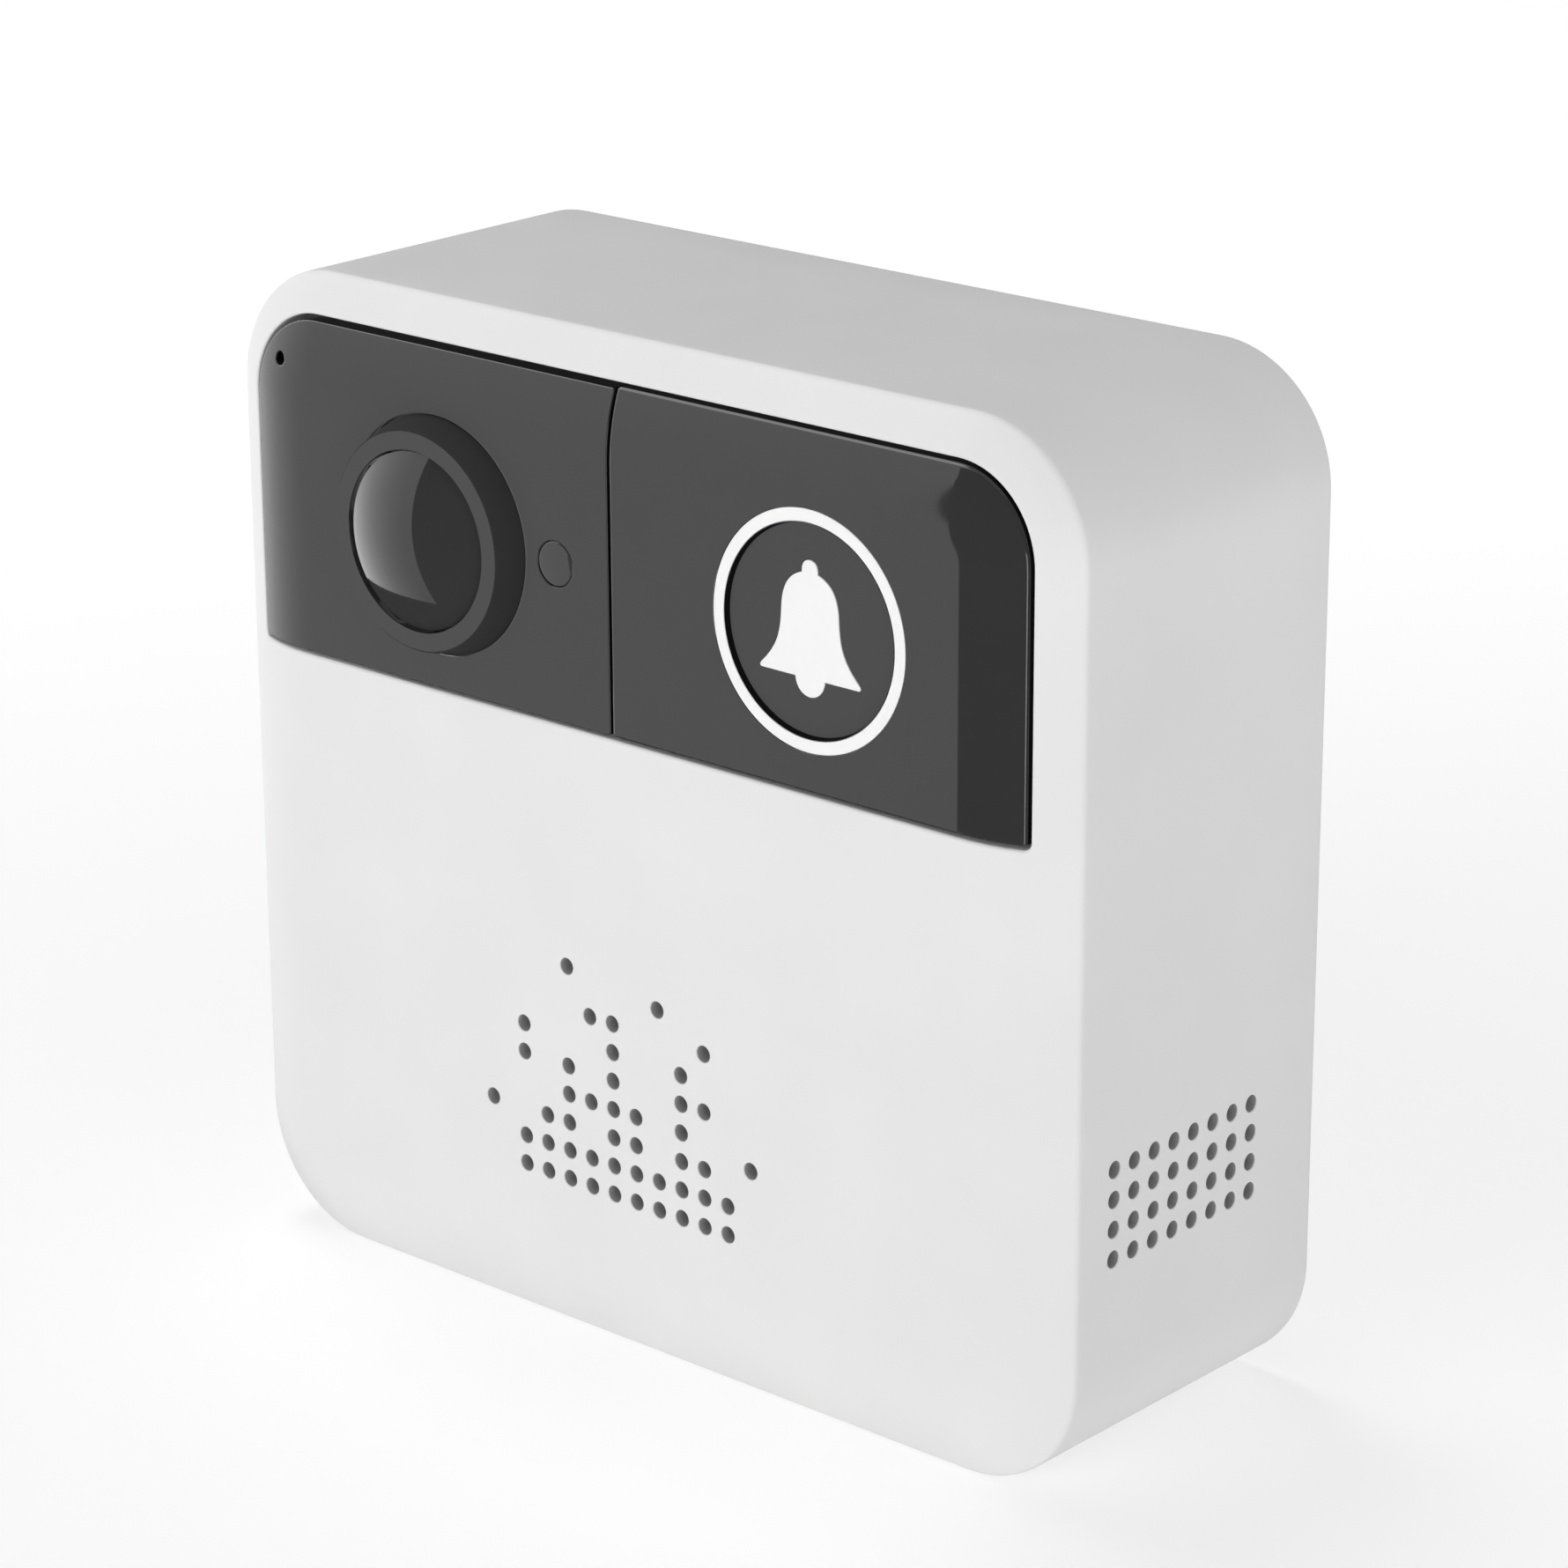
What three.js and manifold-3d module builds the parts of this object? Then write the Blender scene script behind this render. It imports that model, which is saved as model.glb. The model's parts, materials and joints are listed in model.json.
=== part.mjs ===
// Battery video doorbell: a square white case with a dark window that holds a camera and a bell button.
// Millimetres. +X is the right-hand side seen from the front, the front faces -Y and +Z is up.
import * as THREE from 'three';
import { mergeVertices } from 'three/addons/utils/BufferGeometryUtils.js';
import Module from 'manifold-3d';

const wasm = await Module();
wasm.setup();

// ---------------------------------------------------------------- driving dimensions
// Inside the assembly y = 0 is the flat front face and y = DEPTH is the wall face.
const WIDTH = 90;
const HEIGHT = 86.5;
const DEPTH = 33.6;
const WALL = 2;
const GAP = 0.3; // clearance between neighbouring pieces
const CORNER_RADIUS = 10.8;
const CORNER_STEPS = 5;

// The front face rolls back towards its edge over this band.
const ROLL_WIDTH = 10;
const ROLL_DEPTH = 3.2;
const ROLL_POWER = 2.2;
const ROLL_INSETS = [10, 7.5, 5.4, 3.6, 2, 0];

// Dark window in the upper front, split into the camera panel and the bell button.
const WINDOW = { left: -41.6, right: 41.4, bottom: 54.2, top: 83.2, radius: 7.4 };
const SEAM_X = -0.3;
const SEAM_WIDTH = 0.5;
const SKIN = 1.8; // thickness of the two window plates
const RIM_BACK = 3.1; // depth reached by the stiffening rim behind each plate
const RIM_INSET = 1.4;
const RIM_WIDTH = 1;

// Camera.
const LENS = { x: -19.6, z: 67.45 };
const BEZEL_HEIGHT = 2.4;
const BEZEL_RADIUS = 10;
const LENS_SEAT_RADIUS = 8.4; // the neck of the bezel, which passes through the panel
const DOME_RADIUS = 7.4;
const DOME_CURVATURE = 16.2;
const DOME_THICKNESS = 1.3;
const DOME_EDGE_Y = -2.05;
const DOME_APEX_Y = DOME_EDGE_Y - (DOME_CURVATURE - Math.sqrt(DOME_CURVATURE ** 2 - DOME_RADIUS ** 2));
const BARREL_RADIUS = 6;
const IR_BOARD = { front: 3.4, back: 4.4, radius: 15.2, bore: 8.8 };
const SENSOR_WINDOW = { x: 13.4, z: 0.15, radius: 1.85 }; // from the lens axis
const MICROPHONE = { x: -37.9, z: 79.1 };

// Bell button.
const BELL = { x: 20.5, z: 67.4, lean: -0.2 }; // lean is the bell's offset from the ring's centre
const RING_OUTER = 9.7;
const RING_INNER = 8.65;
const DISH_DEPTH = 0.5;
const BUTTON_TRAVEL = 0.5;

// Sound holes.
const HOLE_PITCH = 2.5;
const HOLE_RADIUS = 0.72;
const HOLE_SIDES = 6;
const FRONT_GRILLE = { x: -10.8, z: 14.8 };
const FRONT_GRILLE_COLUMNS = [
  [-1.5, [2]],
  [0, [0, 1, 4, 5]],
  [1, [0, 1, 2]],
  [2, [0, 1, 2, 3, 4, 7.5]],
  [3, [0, 1, 3, 6]],
  [4, [0, 1, 2, 3, 4, 5, 6]],
  [5, [0, 1, 2, 3]],
  [6, [0, 1, 7]],
  [7, [0, 1, 2, 3, 4, 5]],
  [8, [0, 1, 2, 4, 6]],
  [9, [0, 1]],
  [10, [2.5]],
];
const SIDE_GRILLE = { y: 7.6, z: 19.9, columns: 8, rows: 4 };

// Layers behind the front, from the window to the wall.
const WINDOW_RECESS = 4.4; // the window opening is cut this deep
const FRAME = { front: 4.9, back: 6.4, bottom: 50.5 };
const BUTTON_BOARD = { front: 7, back: 8.2 };
const MAIN_BOARD = { front: 20, back: 21.6 };
const LEDGE = { front: 26.6, back: 27.8, innerInset: 3.3 }; // inside the housing, carries the rear gasket
const COVER = { front: 28.9, back: 31, inset: 2.4 };
const BRACKET = { front: 31.6, halfWidth: 30, bottom: 50.4, top: 81 };

// Batteries: two 18650 cells lying across the lower half.
const CELL_RADIUS = 9.2;
const CELL_LENGTH = 65;
const CELL_Y = 19.9;
const CELL_HEIGHTS = { lower: 15.1, upper: 34.1 };
const TRAY = { halfWidth: 37.6, front: 9.2, back: 27, bottom: 4.4, top: 44.8, wall: 1.2 };

// Battery door and the pivot along its lower edge.
const DOOR = { halfWidth: 33.5, top: 44, thickness: 1.6, pivotY: 29.4, pivotZ: 6.6, pinRadius: 0.9 };

// Hooks that hold the case on the wall bracket.
const HOOK = { x: 22, width: 8, neck: 2, lip: 5.5, lipFront: 27, lipBack: 28.5 };
const HOOK_HEIGHTS = [56, 72];
const BRACKET_TRAVEL = 5;

const SCREW_X = 40.2;
const SCREW_HEIGHTS = [47.5, 75.2];
const BOSS = { front: 22.5, radius: 3, pilotRadius: 1.3 };
const USB = { x: 37, z: 58.5 };
const RESET = { x: 37, z: 68.6 };
const SPEAKER = { x: -0.2, z: 23, wallRadius: 16.8, wallThickness: 1.2, wallBack: 4.6 };

// ---------------------------------------------------------------- finishes
const WHITE_PLASTIC = { color: 0xe9e9e8, roughness: 0.45, metalness: 0 };
const BLACK_GLOSS = { color: 0x2b2c2d, roughness: 0.15, metalness: 0 };
const BLACK_PLASTIC = { color: 0x242526, roughness: 0.6, metalness: 0 };
const DARK_GLASS = { color: 0x141516, roughness: 0.05, metalness: 0 };
const MILKY_PLASTIC = { color: 0xf6f6f4, roughness: 0.35, metalness: 0 };
const GREY_PLASTIC = { color: 0x8d9093, roughness: 0.6, metalness: 0 };
const RUBBER = { color: 0x1b1b1b, roughness: 0.9, metalness: 0 };
const CIRCUIT_BOARD = { color: 0x1f5a36, roughness: 0.5, metalness: 0.1 };
const CHIP = { color: 0x1a1b1d, roughness: 0.5, metalness: 0 };
const STEEL = { color: 0xb9bcc0, roughness: 0.3, metalness: 1 };
const CELL_WRAP = { color: 0x3d7fb5, roughness: 0.4, metalness: 0 };
const EMITTER = { color: 0xf2efd8, roughness: 0.3, metalness: 0 };
const RIBBON = { color: 0xb5692c, roughness: 0.5, metalness: 0 };
const PAPER_CONE = { color: 0x34322f, roughness: 0.9, metalness: 0 };

// ---------------------------------------------------------------- solids
// Closes a geometry into a solid: joins shared corners, drops slivers and turns the faces outwards.
function solid(geometry) {
  const bare = geometry.clone();
  bare.deleteAttribute('normal');
  bare.deleteAttribute('uv');
  const merged = mergeVertices(bare, 1e-4);
  const vertices = merged.attributes.position.array;
  const triangles = [];
  let volume = 0;
  for (let i = 0; i < merged.index.count; i += 3) {
    const [a, b, c] = [0, 1, 2].map((k) => merged.index.getX(i + k));
    if (a === b || b === c || c === a) continue;
    triangles.push([a, b, c]);
    const [p, q, r] = [a, b, c].map((k) => new THREE.Vector3().fromArray(vertices, 3 * k));
    volume += p.dot(q.cross(r));
  }
  const facing = volume > 0 ? triangles : triangles.map(([a, b, c]) => [a, c, b]);
  return new wasm.Manifold(new wasm.Mesh({
    numProp: 3,
    vertProperties: Float32Array.from(vertices),
    triVerts: Uint32Array.from(facing.flat()),
  }));
}

function geometryOf(shape) {
  const mesh = shape.getMesh();
  const geometry = new THREE.BufferGeometry();
  geometry.setAttribute('position', new THREE.BufferAttribute(mesh.vertProperties, 3));
  geometry.setIndex(new THREE.BufferAttribute(mesh.triVerts, 1));
  return geometry;
}

function join(solids) {
  return solids.reduce((total, next) => total.add(next));
}

function cut(body, tools) {
  return tools.reduce((rest, tool) => rest.subtract(tool), body);
}

function block(x0, x1, y0, y1, z0, z1) {
  const geometry = new THREE.BoxGeometry(x1 - x0, y1 - y0, z1 - z0);
  return solid(geometry.translate((x0 + x1) / 2, (y0 + y1) / 2, (z0 + z1) / 2));
}

// A round bar along Y.
function rod(x, z, radius, front, back, sides = 16) {
  const geometry = new THREE.CylinderGeometry(radius, radius, back - front, sides);
  return solid(geometry.translate(x, (front + back) / 2, z));
}

// A round bar along X.
function crossRod(y, z, radius, x0, x1, sides = 12) {
  const geometry = new THREE.CylinderGeometry(radius, radius, x1 - x0, sides);
  return solid(geometry.rotateZ(-Math.PI / 2).translate((x0 + x1) / 2, y, z));
}

// A body turned about the Y axis; the profile is a list of [radius, y].
function turned(profile, sides = 24) {
  const closed = [...profile, profile[0]];
  return solid(new THREE.LatheGeometry(closed.map(([r, y]) => new THREE.Vector2(r, y)), sides));
}

// Points of a circular arc as [radius, y], centred on the axis, between two radii.
function sphereProfile(apexY, curvature, radius, steps) {
  const points = [];
  for (let i = 0; i <= steps; i += 1) {
    const r = (radius * i) / steps;
    points.push([r, apexY + curvature - Math.sqrt(curvature ** 2 - r ** 2)]);
  }
  return points;
}

// A flat shape drawn in X and Z, thickened along Y.
function slab(shape, front, back, curveSegments = 6) {
  const options = { depth: back - front, bevelEnabled: false, curveSegments };
  return solid(new THREE.ExtrudeGeometry(shape, options).rotateX(Math.PI / 2).translate(0, back, 0));
}

// A flat shape drawn in Y and Z, thickened along X.
function bar(shape, x0, x1, curveSegments = 8) {
  const options = { depth: x1 - x0, bevelEnabled: false, curveSegments };
  const turn = new THREE.Matrix4().makeBasis(
    new THREE.Vector3(0, 1, 0),
    new THREE.Vector3(0, 0, 1),
    new THREE.Vector3(1, 0, 0),
  );
  return solid(new THREE.ExtrudeGeometry(shape, options).applyMatrix4(turn).translate(x0, 0, 0));
}

// A rectangle in X and Z whose lower and upper corners may be rounded.
function rectangle(x0, x1, z0, z1, { bottomLeft = 0, bottomRight = 0, topRight = 0, topLeft = 0 } = {}) {
  const shape = new THREE.Shape();
  shape.moveTo(x0 + bottomLeft, z0);
  shape.lineTo(x1 - bottomRight, z0);
  if (bottomRight) shape.absarc(x1 - bottomRight, z0 + bottomRight, bottomRight, -Math.PI / 2, 0);
  shape.lineTo(x1, z1 - topRight);
  if (topRight) shape.absarc(x1 - topRight, z1 - topRight, topRight, 0, Math.PI / 2);
  shape.lineTo(x0 + topLeft, z1);
  if (topLeft) shape.absarc(x0 + topLeft, z1 - topLeft, topLeft, Math.PI / 2, Math.PI);
  shape.lineTo(x0, z0 + bottomLeft);
  if (bottomLeft) shape.absarc(x0 + bottomLeft, z0 + bottomLeft, bottomLeft, Math.PI, 1.5 * Math.PI);
  return shape;
}

function roundedRectangle(x0, x1, z0, z1, radius) {
  const corners = { bottomLeft: radius, bottomRight: radius, topRight: radius, topLeft: radius };
  return rectangle(x0, x1, z0, z1, corners);
}

// A wire: a round section swept along a curve.
function wire(curve, radius, steps) {
  const section = new THREE.Shape().absarc(0, 0, radius, 0, 2 * Math.PI);
  const options = { steps, extrudePath: curve, curveSegments: 3, bevelEnabled: false };
  return solid(new THREE.ExtrudeGeometry(section, options));
}

function lead(points, radius) {
  return wire(new THREE.CatmullRomCurve3(points.map((point) => new THREE.Vector3(...point))), radius, 10);
}

// ---------------------------------------------------------------- case outline
// Outline of the case seen from the front, shrunk by an inset, as a ring of [x, z].
function outline(inset) {
  const centreX = WIDTH / 2 - CORNER_RADIUS;
  const corners = [
    [centreX, CORNER_RADIUS],
    [centreX, HEIGHT - CORNER_RADIUS],
    [-centreX, HEIGHT - CORNER_RADIUS],
    [-centreX, CORNER_RADIUS],
  ];
  return corners.flatMap(([x, z], corner) => {
    const points = [];
    for (let i = 0; i <= CORNER_STEPS; i += 1) {
      const angle = (Math.PI / 2) * (corner - 1 + i / CORNER_STEPS);
      const radius = CORNER_RADIUS - inset;
      points.push([x + radius * Math.cos(angle), z + radius * Math.sin(angle)]);
    }
    return points;
  });
}

// How far back the front face lies at an inset from the edge.
function roll(inset) {
  return ROLL_DEPTH * Math.max(0, 1 - inset / ROLL_WIDTH) ** ROLL_POWER;
}

// A body lofted through rings; each ring is an inset of the case outline at a depth y.
function loft(rings) {
  const loops = rings.map(({ inset, y }) => outline(inset).map(([x, z]) => [x, y, z]));
  const count = loops[0].length;
  const index = [];
  for (let ring = 0; ring + 1 < loops.length; ring += 1) {
    for (let i = 0; i < count; i += 1) {
      const a = ring * count + i;
      const b = ring * count + ((i + 1) % count);
      index.push(a, b, b + count, a, b + count, a + count);
    }
  }
  const last = (loops.length - 1) * count;
  for (let i = 1; i + 1 < count; i += 1) {
    index.push(0, i + 1, i);
    index.push(last, last + i, last + i + 1);
  }
  const geometry = new THREE.BufferGeometry();
  geometry.setAttribute('position', new THREE.Float32BufferAttribute(loops.flat(2), 3));
  geometry.setIndex(index);
  return solid(geometry);
}

// The case as a full body; shift moves the rolled front face back, and inset shrinks the outline.
function caseBody(shift, inset, back) {
  const insets = [...ROLL_INSETS.filter((value) => value > inset), inset];
  return loft([...insets.map((value) => ({ inset: value, y: shift + roll(value) })), { inset, y: back }]);
}

// A flat band that follows the case outline between two insets.
function band(outerInset, innerInset, front, back) {
  const whole = loft([{ inset: outerInset, y: front }, { inset: outerInset, y: back }]);
  const hollow = loft([{ inset: innerInset, y: front - 1 }, { inset: innerInset, y: back + 1 }]);
  return whole.subtract(hollow);
}

// ---------------------------------------------------------------- placing parts
const doorbell = new THREE.Group();
doorbell.position.y = -(DEPTH + DOME_APEX_Y) / 2;
const camera = new THREE.Group();
camera.position.set(LENS.x, 0, LENS.z);
const button = new THREE.Group();
button.position.set(BELL.x, 0, BELL.z);
const speaker = new THREE.Group();
speaker.position.set(SPEAKER.x, 0, SPEAKER.z);
const battery = new THREE.Group();
battery.position.y = CELL_Y;
doorbell.add(camera, button, speaker, battery);

function place(parent, name, finish, shape, position = [0, 0, 0]) {
  const material = new THREE.MeshStandardMaterial({ ...finish, flatShading: true });
  const mesh = new THREE.Mesh(geometryOf(shape), material);
  mesh.name = name;
  mesh.position.set(...position);
  parent.add(mesh);
}

// ---------------------------------------------------------------- front housing
function grilleHoles() {
  const holes = [];
  for (const [column, rows] of FRONT_GRILLE_COLUMNS) {
    for (const row of rows) {
      const x = FRONT_GRILLE.x + HOLE_PITCH * column;
      const z = FRONT_GRILLE.z + HOLE_PITCH * row;
      holes.push(rod(x, z, HOLE_RADIUS, -1, WALL + 1, HOLE_SIDES));
    }
  }
  for (let column = 0; column < SIDE_GRILLE.columns; column += 1) {
    for (let row = 0; row < SIDE_GRILLE.rows; row += 1) {
      const y = SIDE_GRILLE.y + HOLE_PITCH * column;
      const z = SIDE_GRILLE.z + HOLE_PITCH * row;
      holes.push(crossRod(y, z, HOLE_RADIUS, WIDTH / 2 - WALL - 1, WIDTH / 2 + 1, HOLE_SIDES));
    }
  }
  return holes;
}

function screwPlaces() {
  return SCREW_HEIGHTS.flatMap((z) => [-SCREW_X, SCREW_X].map((x) => ({ x, z })));
}

function frontHousing() {
  const tub = caseBody(0, 0, DEPTH).subtract(caseBody(WALL, WALL, DEPTH + 1));
  const corners = { topRight: WINDOW.radius, topLeft: WINDOW.radius };
  const opening = rectangle(WINDOW.left, WINDOW.right, WINDOW.bottom, WINDOW.top, corners);
  const ledge = band(WALL - 0.2, LEDGE.innerInset, LEDGE.front, LEDGE.back);
  const bosses = screwPlaces().map(({ x, z }) => rod(x, z, BOSS.radius, BOSS.front, LEDGE.back, 12));
  const [pilotFront, pilotBack] = [BOSS.front - 0.5, LEDGE.back + 1];
  const pilots = screwPlaces().map(({ x, z }) => rod(x, z, BOSS.pilotRadius, pilotFront, pilotBack, 8));
  const speakerBore = SPEAKER.wallRadius - SPEAKER.wallThickness;
  const speakerWall = rod(SPEAKER.x, SPEAKER.z, SPEAKER.wallRadius, WALL - 0.5, SPEAKER.wallBack, 28)
    .subtract(rod(SPEAKER.x, SPEAKER.z, speakerBore, WALL - 1, SPEAKER.wallBack + 1, 28));
  const filled = join([tub, ledge, speakerWall, ...bosses]);
  return cut(filled, [slab(opening, -1, WINDOW_RECESS), ...grilleHoles(), ...pilots]);
}

place(doorbell, 'front_housing', WHITE_PLASTIC, frontHousing());

// ---------------------------------------------------------------- window plates
// One half of the dark window, shrunk by an inset; at an inset of GAP the halves meet at the seam.
function windowHalf(side, inset) {
  const seam = SEAM_WIDTH / 2 + inset - GAP;
  const radius = WINDOW.radius - inset;
  const [bottom, top] = [WINDOW.bottom + inset, WINDOW.top - inset];
  return side === 'left'
    ? rectangle(WINDOW.left + inset, SEAM_X - seam, bottom, top, { topLeft: radius })
    : rectangle(SEAM_X + seam, WINDOW.right - inset, bottom, top, { topRight: radius });
}

function windowPlate(side) {
  const deep = DEPTH / 4;
  const outer = slab(windowHalf(side, GAP), -1, deep - 1);
  const plate = outer.intersect(caseBody(0, 0, deep)).subtract(caseBody(SKIN, 0, deep));
  const rimOuter = slab(windowHalf(side, RIM_INSET), 0, RIM_BACK);
  const rimInner = slab(windowHalf(side, RIM_INSET + RIM_WIDTH), -1, RIM_BACK + 1);
  return plate.add(rimOuter.subtract(rimInner).intersect(caseBody(SKIN / 2, 0, deep)));
}

function cameraPanel() {
  return cut(windowPlate('left'), [
    rod(LENS.x, LENS.z, BEZEL_RADIUS + 0.2, -1, 2 * GAP, 24),
    rod(LENS.x, LENS.z, LENS_SEAT_RADIUS + 0.2, -1, SKIN + 1, 24),
    rod(LENS.x + SENSOR_WINDOW.x, LENS.z + SENSOR_WINDOW.z, SENSOR_WINDOW.radius + 0.15, -1, SKIN + 1, 14),
    rod(MICROPHONE.x, MICROPHONE.z, 0.6, -1, SKIN + 2, 10),
  ]);
}

place(doorbell, 'camera_panel', BLACK_GLOSS, cameraPanel());

// ---------------------------------------------------------------- camera
const bezelFace = -BEZEL_HEIGHT;
const bezelBore = DOME_RADIUS + 0.2;
place(camera, 'lens_bezel', BLACK_GLOSS, turned([
  [bezelBore, bezelFace + 0.3],
  [bezelBore + 0.3, bezelFace],
  [BEZEL_RADIUS - 0.9, bezelFace],
  [BEZEL_RADIUS - 0.7, bezelFace + 0.2],
  [BEZEL_RADIUS, GAP],
  [LENS_SEAT_RADIUS, GAP],
  [LENS_SEAT_RADIUS, 3],
  [bezelBore, 3],
], 24));

const domeInner = { radius: DOME_RADIUS - 1.1, curvature: DOME_CURVATURE - DOME_THICKNESS };
place(camera, 'lens_dome', DARK_GLASS, turned([
  ...sphereProfile(DOME_APEX_Y, DOME_CURVATURE, DOME_RADIUS, 5),
  [DOME_RADIUS, IR_BOARD.front],
  [domeInner.radius, IR_BOARD.front],
  ...sphereProfile(DOME_APEX_Y + DOME_THICKNESS, domeInner.curvature, domeInner.radius, 3).reverse(),
], 24));

place(camera, 'lens_glass', DARK_GLASS, turned([
  ...sphereProfile(-0.4, 6, 3.3, 3),
  [3.3, 1.5],
  [0, 1.5],
], 16));

place(camera, 'lens_barrel', BLACK_PLASTIC, turned([
  [0, 1.8],
  [3.5, 1.8],
  [3.5, 0.4],
  [BARREL_RADIUS - 0.4, 0.4],
  [BARREL_RADIUS - 0.4, 6],
  [BARREL_RADIUS, 6],
  [BARREL_RADIUS, 12.4],
  [0, 12.4],
], 20));

const lensHolder = block(-8, 8, 7, 13.8, -8, 8).subtract(rod(0, 0, BARREL_RADIUS + GAP, 6, 15, 20));
const irBoard = rod(0, 0, IR_BOARD.radius, IR_BOARD.front, IR_BOARD.back, 28)
  .subtract(rod(0, 0, IR_BOARD.bore, IR_BOARD.front - 1, IR_BOARD.back + 1, 20));
place(camera, 'lens_holder', BLACK_PLASTIC, lensHolder);
place(camera, 'image_sensor', CHIP, block(-3.5, 3.5, 13, 13.8, -3.5, 3.5));
place(camera, 'camera_board', CIRCUIT_BOARD, block(-12, 12, 14.1, 15.1, -12, 12));
place(camera, 'infrared_board', CIRCUIT_BOARD, irBoard);

const EMITTER_RADIUS = 12;
for (const [name, angle] of [['infrared_emitter_left', 210], ['infrared_emitter_right', 330]]) {
  const x = EMITTER_RADIUS * Math.cos(THREE.MathUtils.degToRad(angle));
  const z = EMITTER_RADIUS * Math.sin(THREE.MathUtils.degToRad(angle));
  place(camera, name, EMITTER, block(-1.4, 1.4, 2.1, 3.1, -1.4, 1.4), [x, 0, z]);
}

const sensorPlace = [SENSOR_WINDOW.x, 0, SENSOR_WINDOW.z];
const sensorLens = rod(0, 0, SENSOR_WINDOW.radius, 0.15, 1.6, 14);
place(camera, 'light_sensor_window', BLACK_GLOSS, sensorLens, sensorPlace);
place(camera, 'light_sensor', CHIP, block(-1, 1, 2.1, 3.1, -1, 1), sensorPlace);

// A ribbon that leaves the camera board downwards, folds back and rises to the main board.
function cameraRibbon() {
  const fold = { y: 17.55, z: -13, radius: 2.15, thickness: 0.3 };
  const inner = fold.radius - fold.thickness;
  const shape = new THREE.Shape();
  shape.moveTo(fold.y - fold.radius, -6);
  shape.lineTo(fold.y - fold.radius, fold.z);
  shape.absarc(fold.y, fold.z, fold.radius, Math.PI, 2 * Math.PI);
  shape.lineTo(fold.y + fold.radius, -8);
  shape.lineTo(fold.y + inner, -8);
  shape.lineTo(fold.y + inner, fold.z);
  shape.absarc(fold.y, fold.z, inner, 2 * Math.PI, Math.PI, true);
  shape.lineTo(fold.y - inner, -6);
  return bar(shape, -5, 5);
}

place(camera, 'camera_ribbon', RIBBON, cameraRibbon());

const microphonePlace = [MICROPHONE.x, 0, MICROPHONE.z];
const boot = [[0.7, 3.45], [1.8, 3.45], [1.8, 4.85], [0.7, 4.85]];
place(doorbell, 'microphone_boot', RUBBER, turned(boot, 12), microphonePlace);
place(doorbell, 'microphone', STEEL, rod(0, 0, 2, 5.15, 6.9, 14), microphonePlace);

// ---------------------------------------------------------------- panel frame
const LIGHT_RADIUS = 9.2;
const LIGHT_ANGLES = [45, 135, 225, 315];

function lightPlace(angle) {
  const turn = THREE.MathUtils.degToRad(angle);
  return { x: LIGHT_RADIUS * Math.cos(turn), z: LIGHT_RADIUS * Math.sin(turn) };
}

function squareHole(x, z, half) {
  return block(x - half, x + half, FRAME.front - 1, FRAME.back + 1, z - half, z + half);
}

// The posts behind the camera panel hold it; those behind the button stop it at the end of its travel.
function panelFrame() {
  const inset = WALL + 0.6;
  const outer = loft([{ inset, y: FRAME.front }, { inset, y: FRAME.back }]);
  const upper = block(-WIDTH, WIDTH, 0, DEPTH, FRAME.bottom, HEIGHT);
  const panelPosts = [[-37.5, 59], [-37.5, 71.5], [-5, 58], [-5, 79]];
  const buttonStops = [[5, 58.5], [36.5, 58.5], [5, 79], [34, 77.5]];
  const postRadius = 1.3;
  const stopFront = RIM_BACK;
  const posts = [
    ...panelPosts.map(([x, z]) => rod(x, z, postRadius, stopFront - BUTTON_TRAVEL, FRAME.front + 0.5, 10)),
    ...buttonStops.map(([x, z]) => rod(x, z, postRadius, stopFront, FRAME.front + 0.5, 10)),
  ];
  const holes = LIGHT_ANGLES.map((angle) => {
    const { x, z } = lightPlace(angle);
    return squareHole(BELL.x + x, BELL.z + z, 1.6);
  });
  return cut(join([outer.intersect(upper), ...posts]), [
    rod(LENS.x, LENS.z, BARREL_RADIUS + 0.9, FRAME.front - 1, FRAME.back + 1, 20),
    rod(MICROPHONE.x, MICROPHONE.z, 2.3, FRAME.front - 1, FRAME.back + 1, 12),
    squareHole(BELL.x, BELL.z, 3.5),
    ...holes,
  ]);
}

place(doorbell, 'panel_frame', BLACK_PLASTIC, panelFrame());

// ---------------------------------------------------------------- bell button
// A hand bell, drawn about the centre of the button and symmetric about its middle line.
function bellShape(scale) {
  const at = (x, z) => [scale * (x + BELL.lean), scale * z];
  const shape = new THREE.Shape();
  shape.moveTo(...at(-1.5, -3.9));
  shape.lineTo(...at(-4.95, -3.9));
  shape.quadraticCurveTo(...at(-5.3, -3.75), ...at(-4.8, -3.3));
  shape.bezierCurveTo(...at(-3.1, -1.6), ...at(-3, -0.4), ...at(-2.9, 1.4));
  shape.bezierCurveTo(...at(-2.8, 3.2), ...at(-2.1, 4.1), ...at(-0.8, 4.5));
  shape.bezierCurveTo(...at(-0.9, 5.9), ...at(0.9, 5.9), ...at(0.8, 4.5));
  shape.bezierCurveTo(...at(2.1, 4.1), ...at(2.8, 3.2), ...at(2.9, 1.4));
  shape.bezierCurveTo(...at(3, -0.4), ...at(3.1, -1.6), ...at(4.8, -3.3));
  shape.quadraticCurveTo(...at(5.3, -3.75), ...at(4.95, -3.9));
  shape.lineTo(...at(1.5, -3.9));
  shape.bezierCurveTo(...at(1.3, -5.9), ...at(-1.3, -5.9), ...at(-1.5, -3.9));
  return shape;
}

function bellButton() {
  const plate = windowPlate('right').subtract(rod(BELL.x, BELL.z, RING_OUTER + 0.15, -1, SKIN + 1, 24));
  return plate.translate(-BELL.x, 0, -BELL.z);
}

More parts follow.
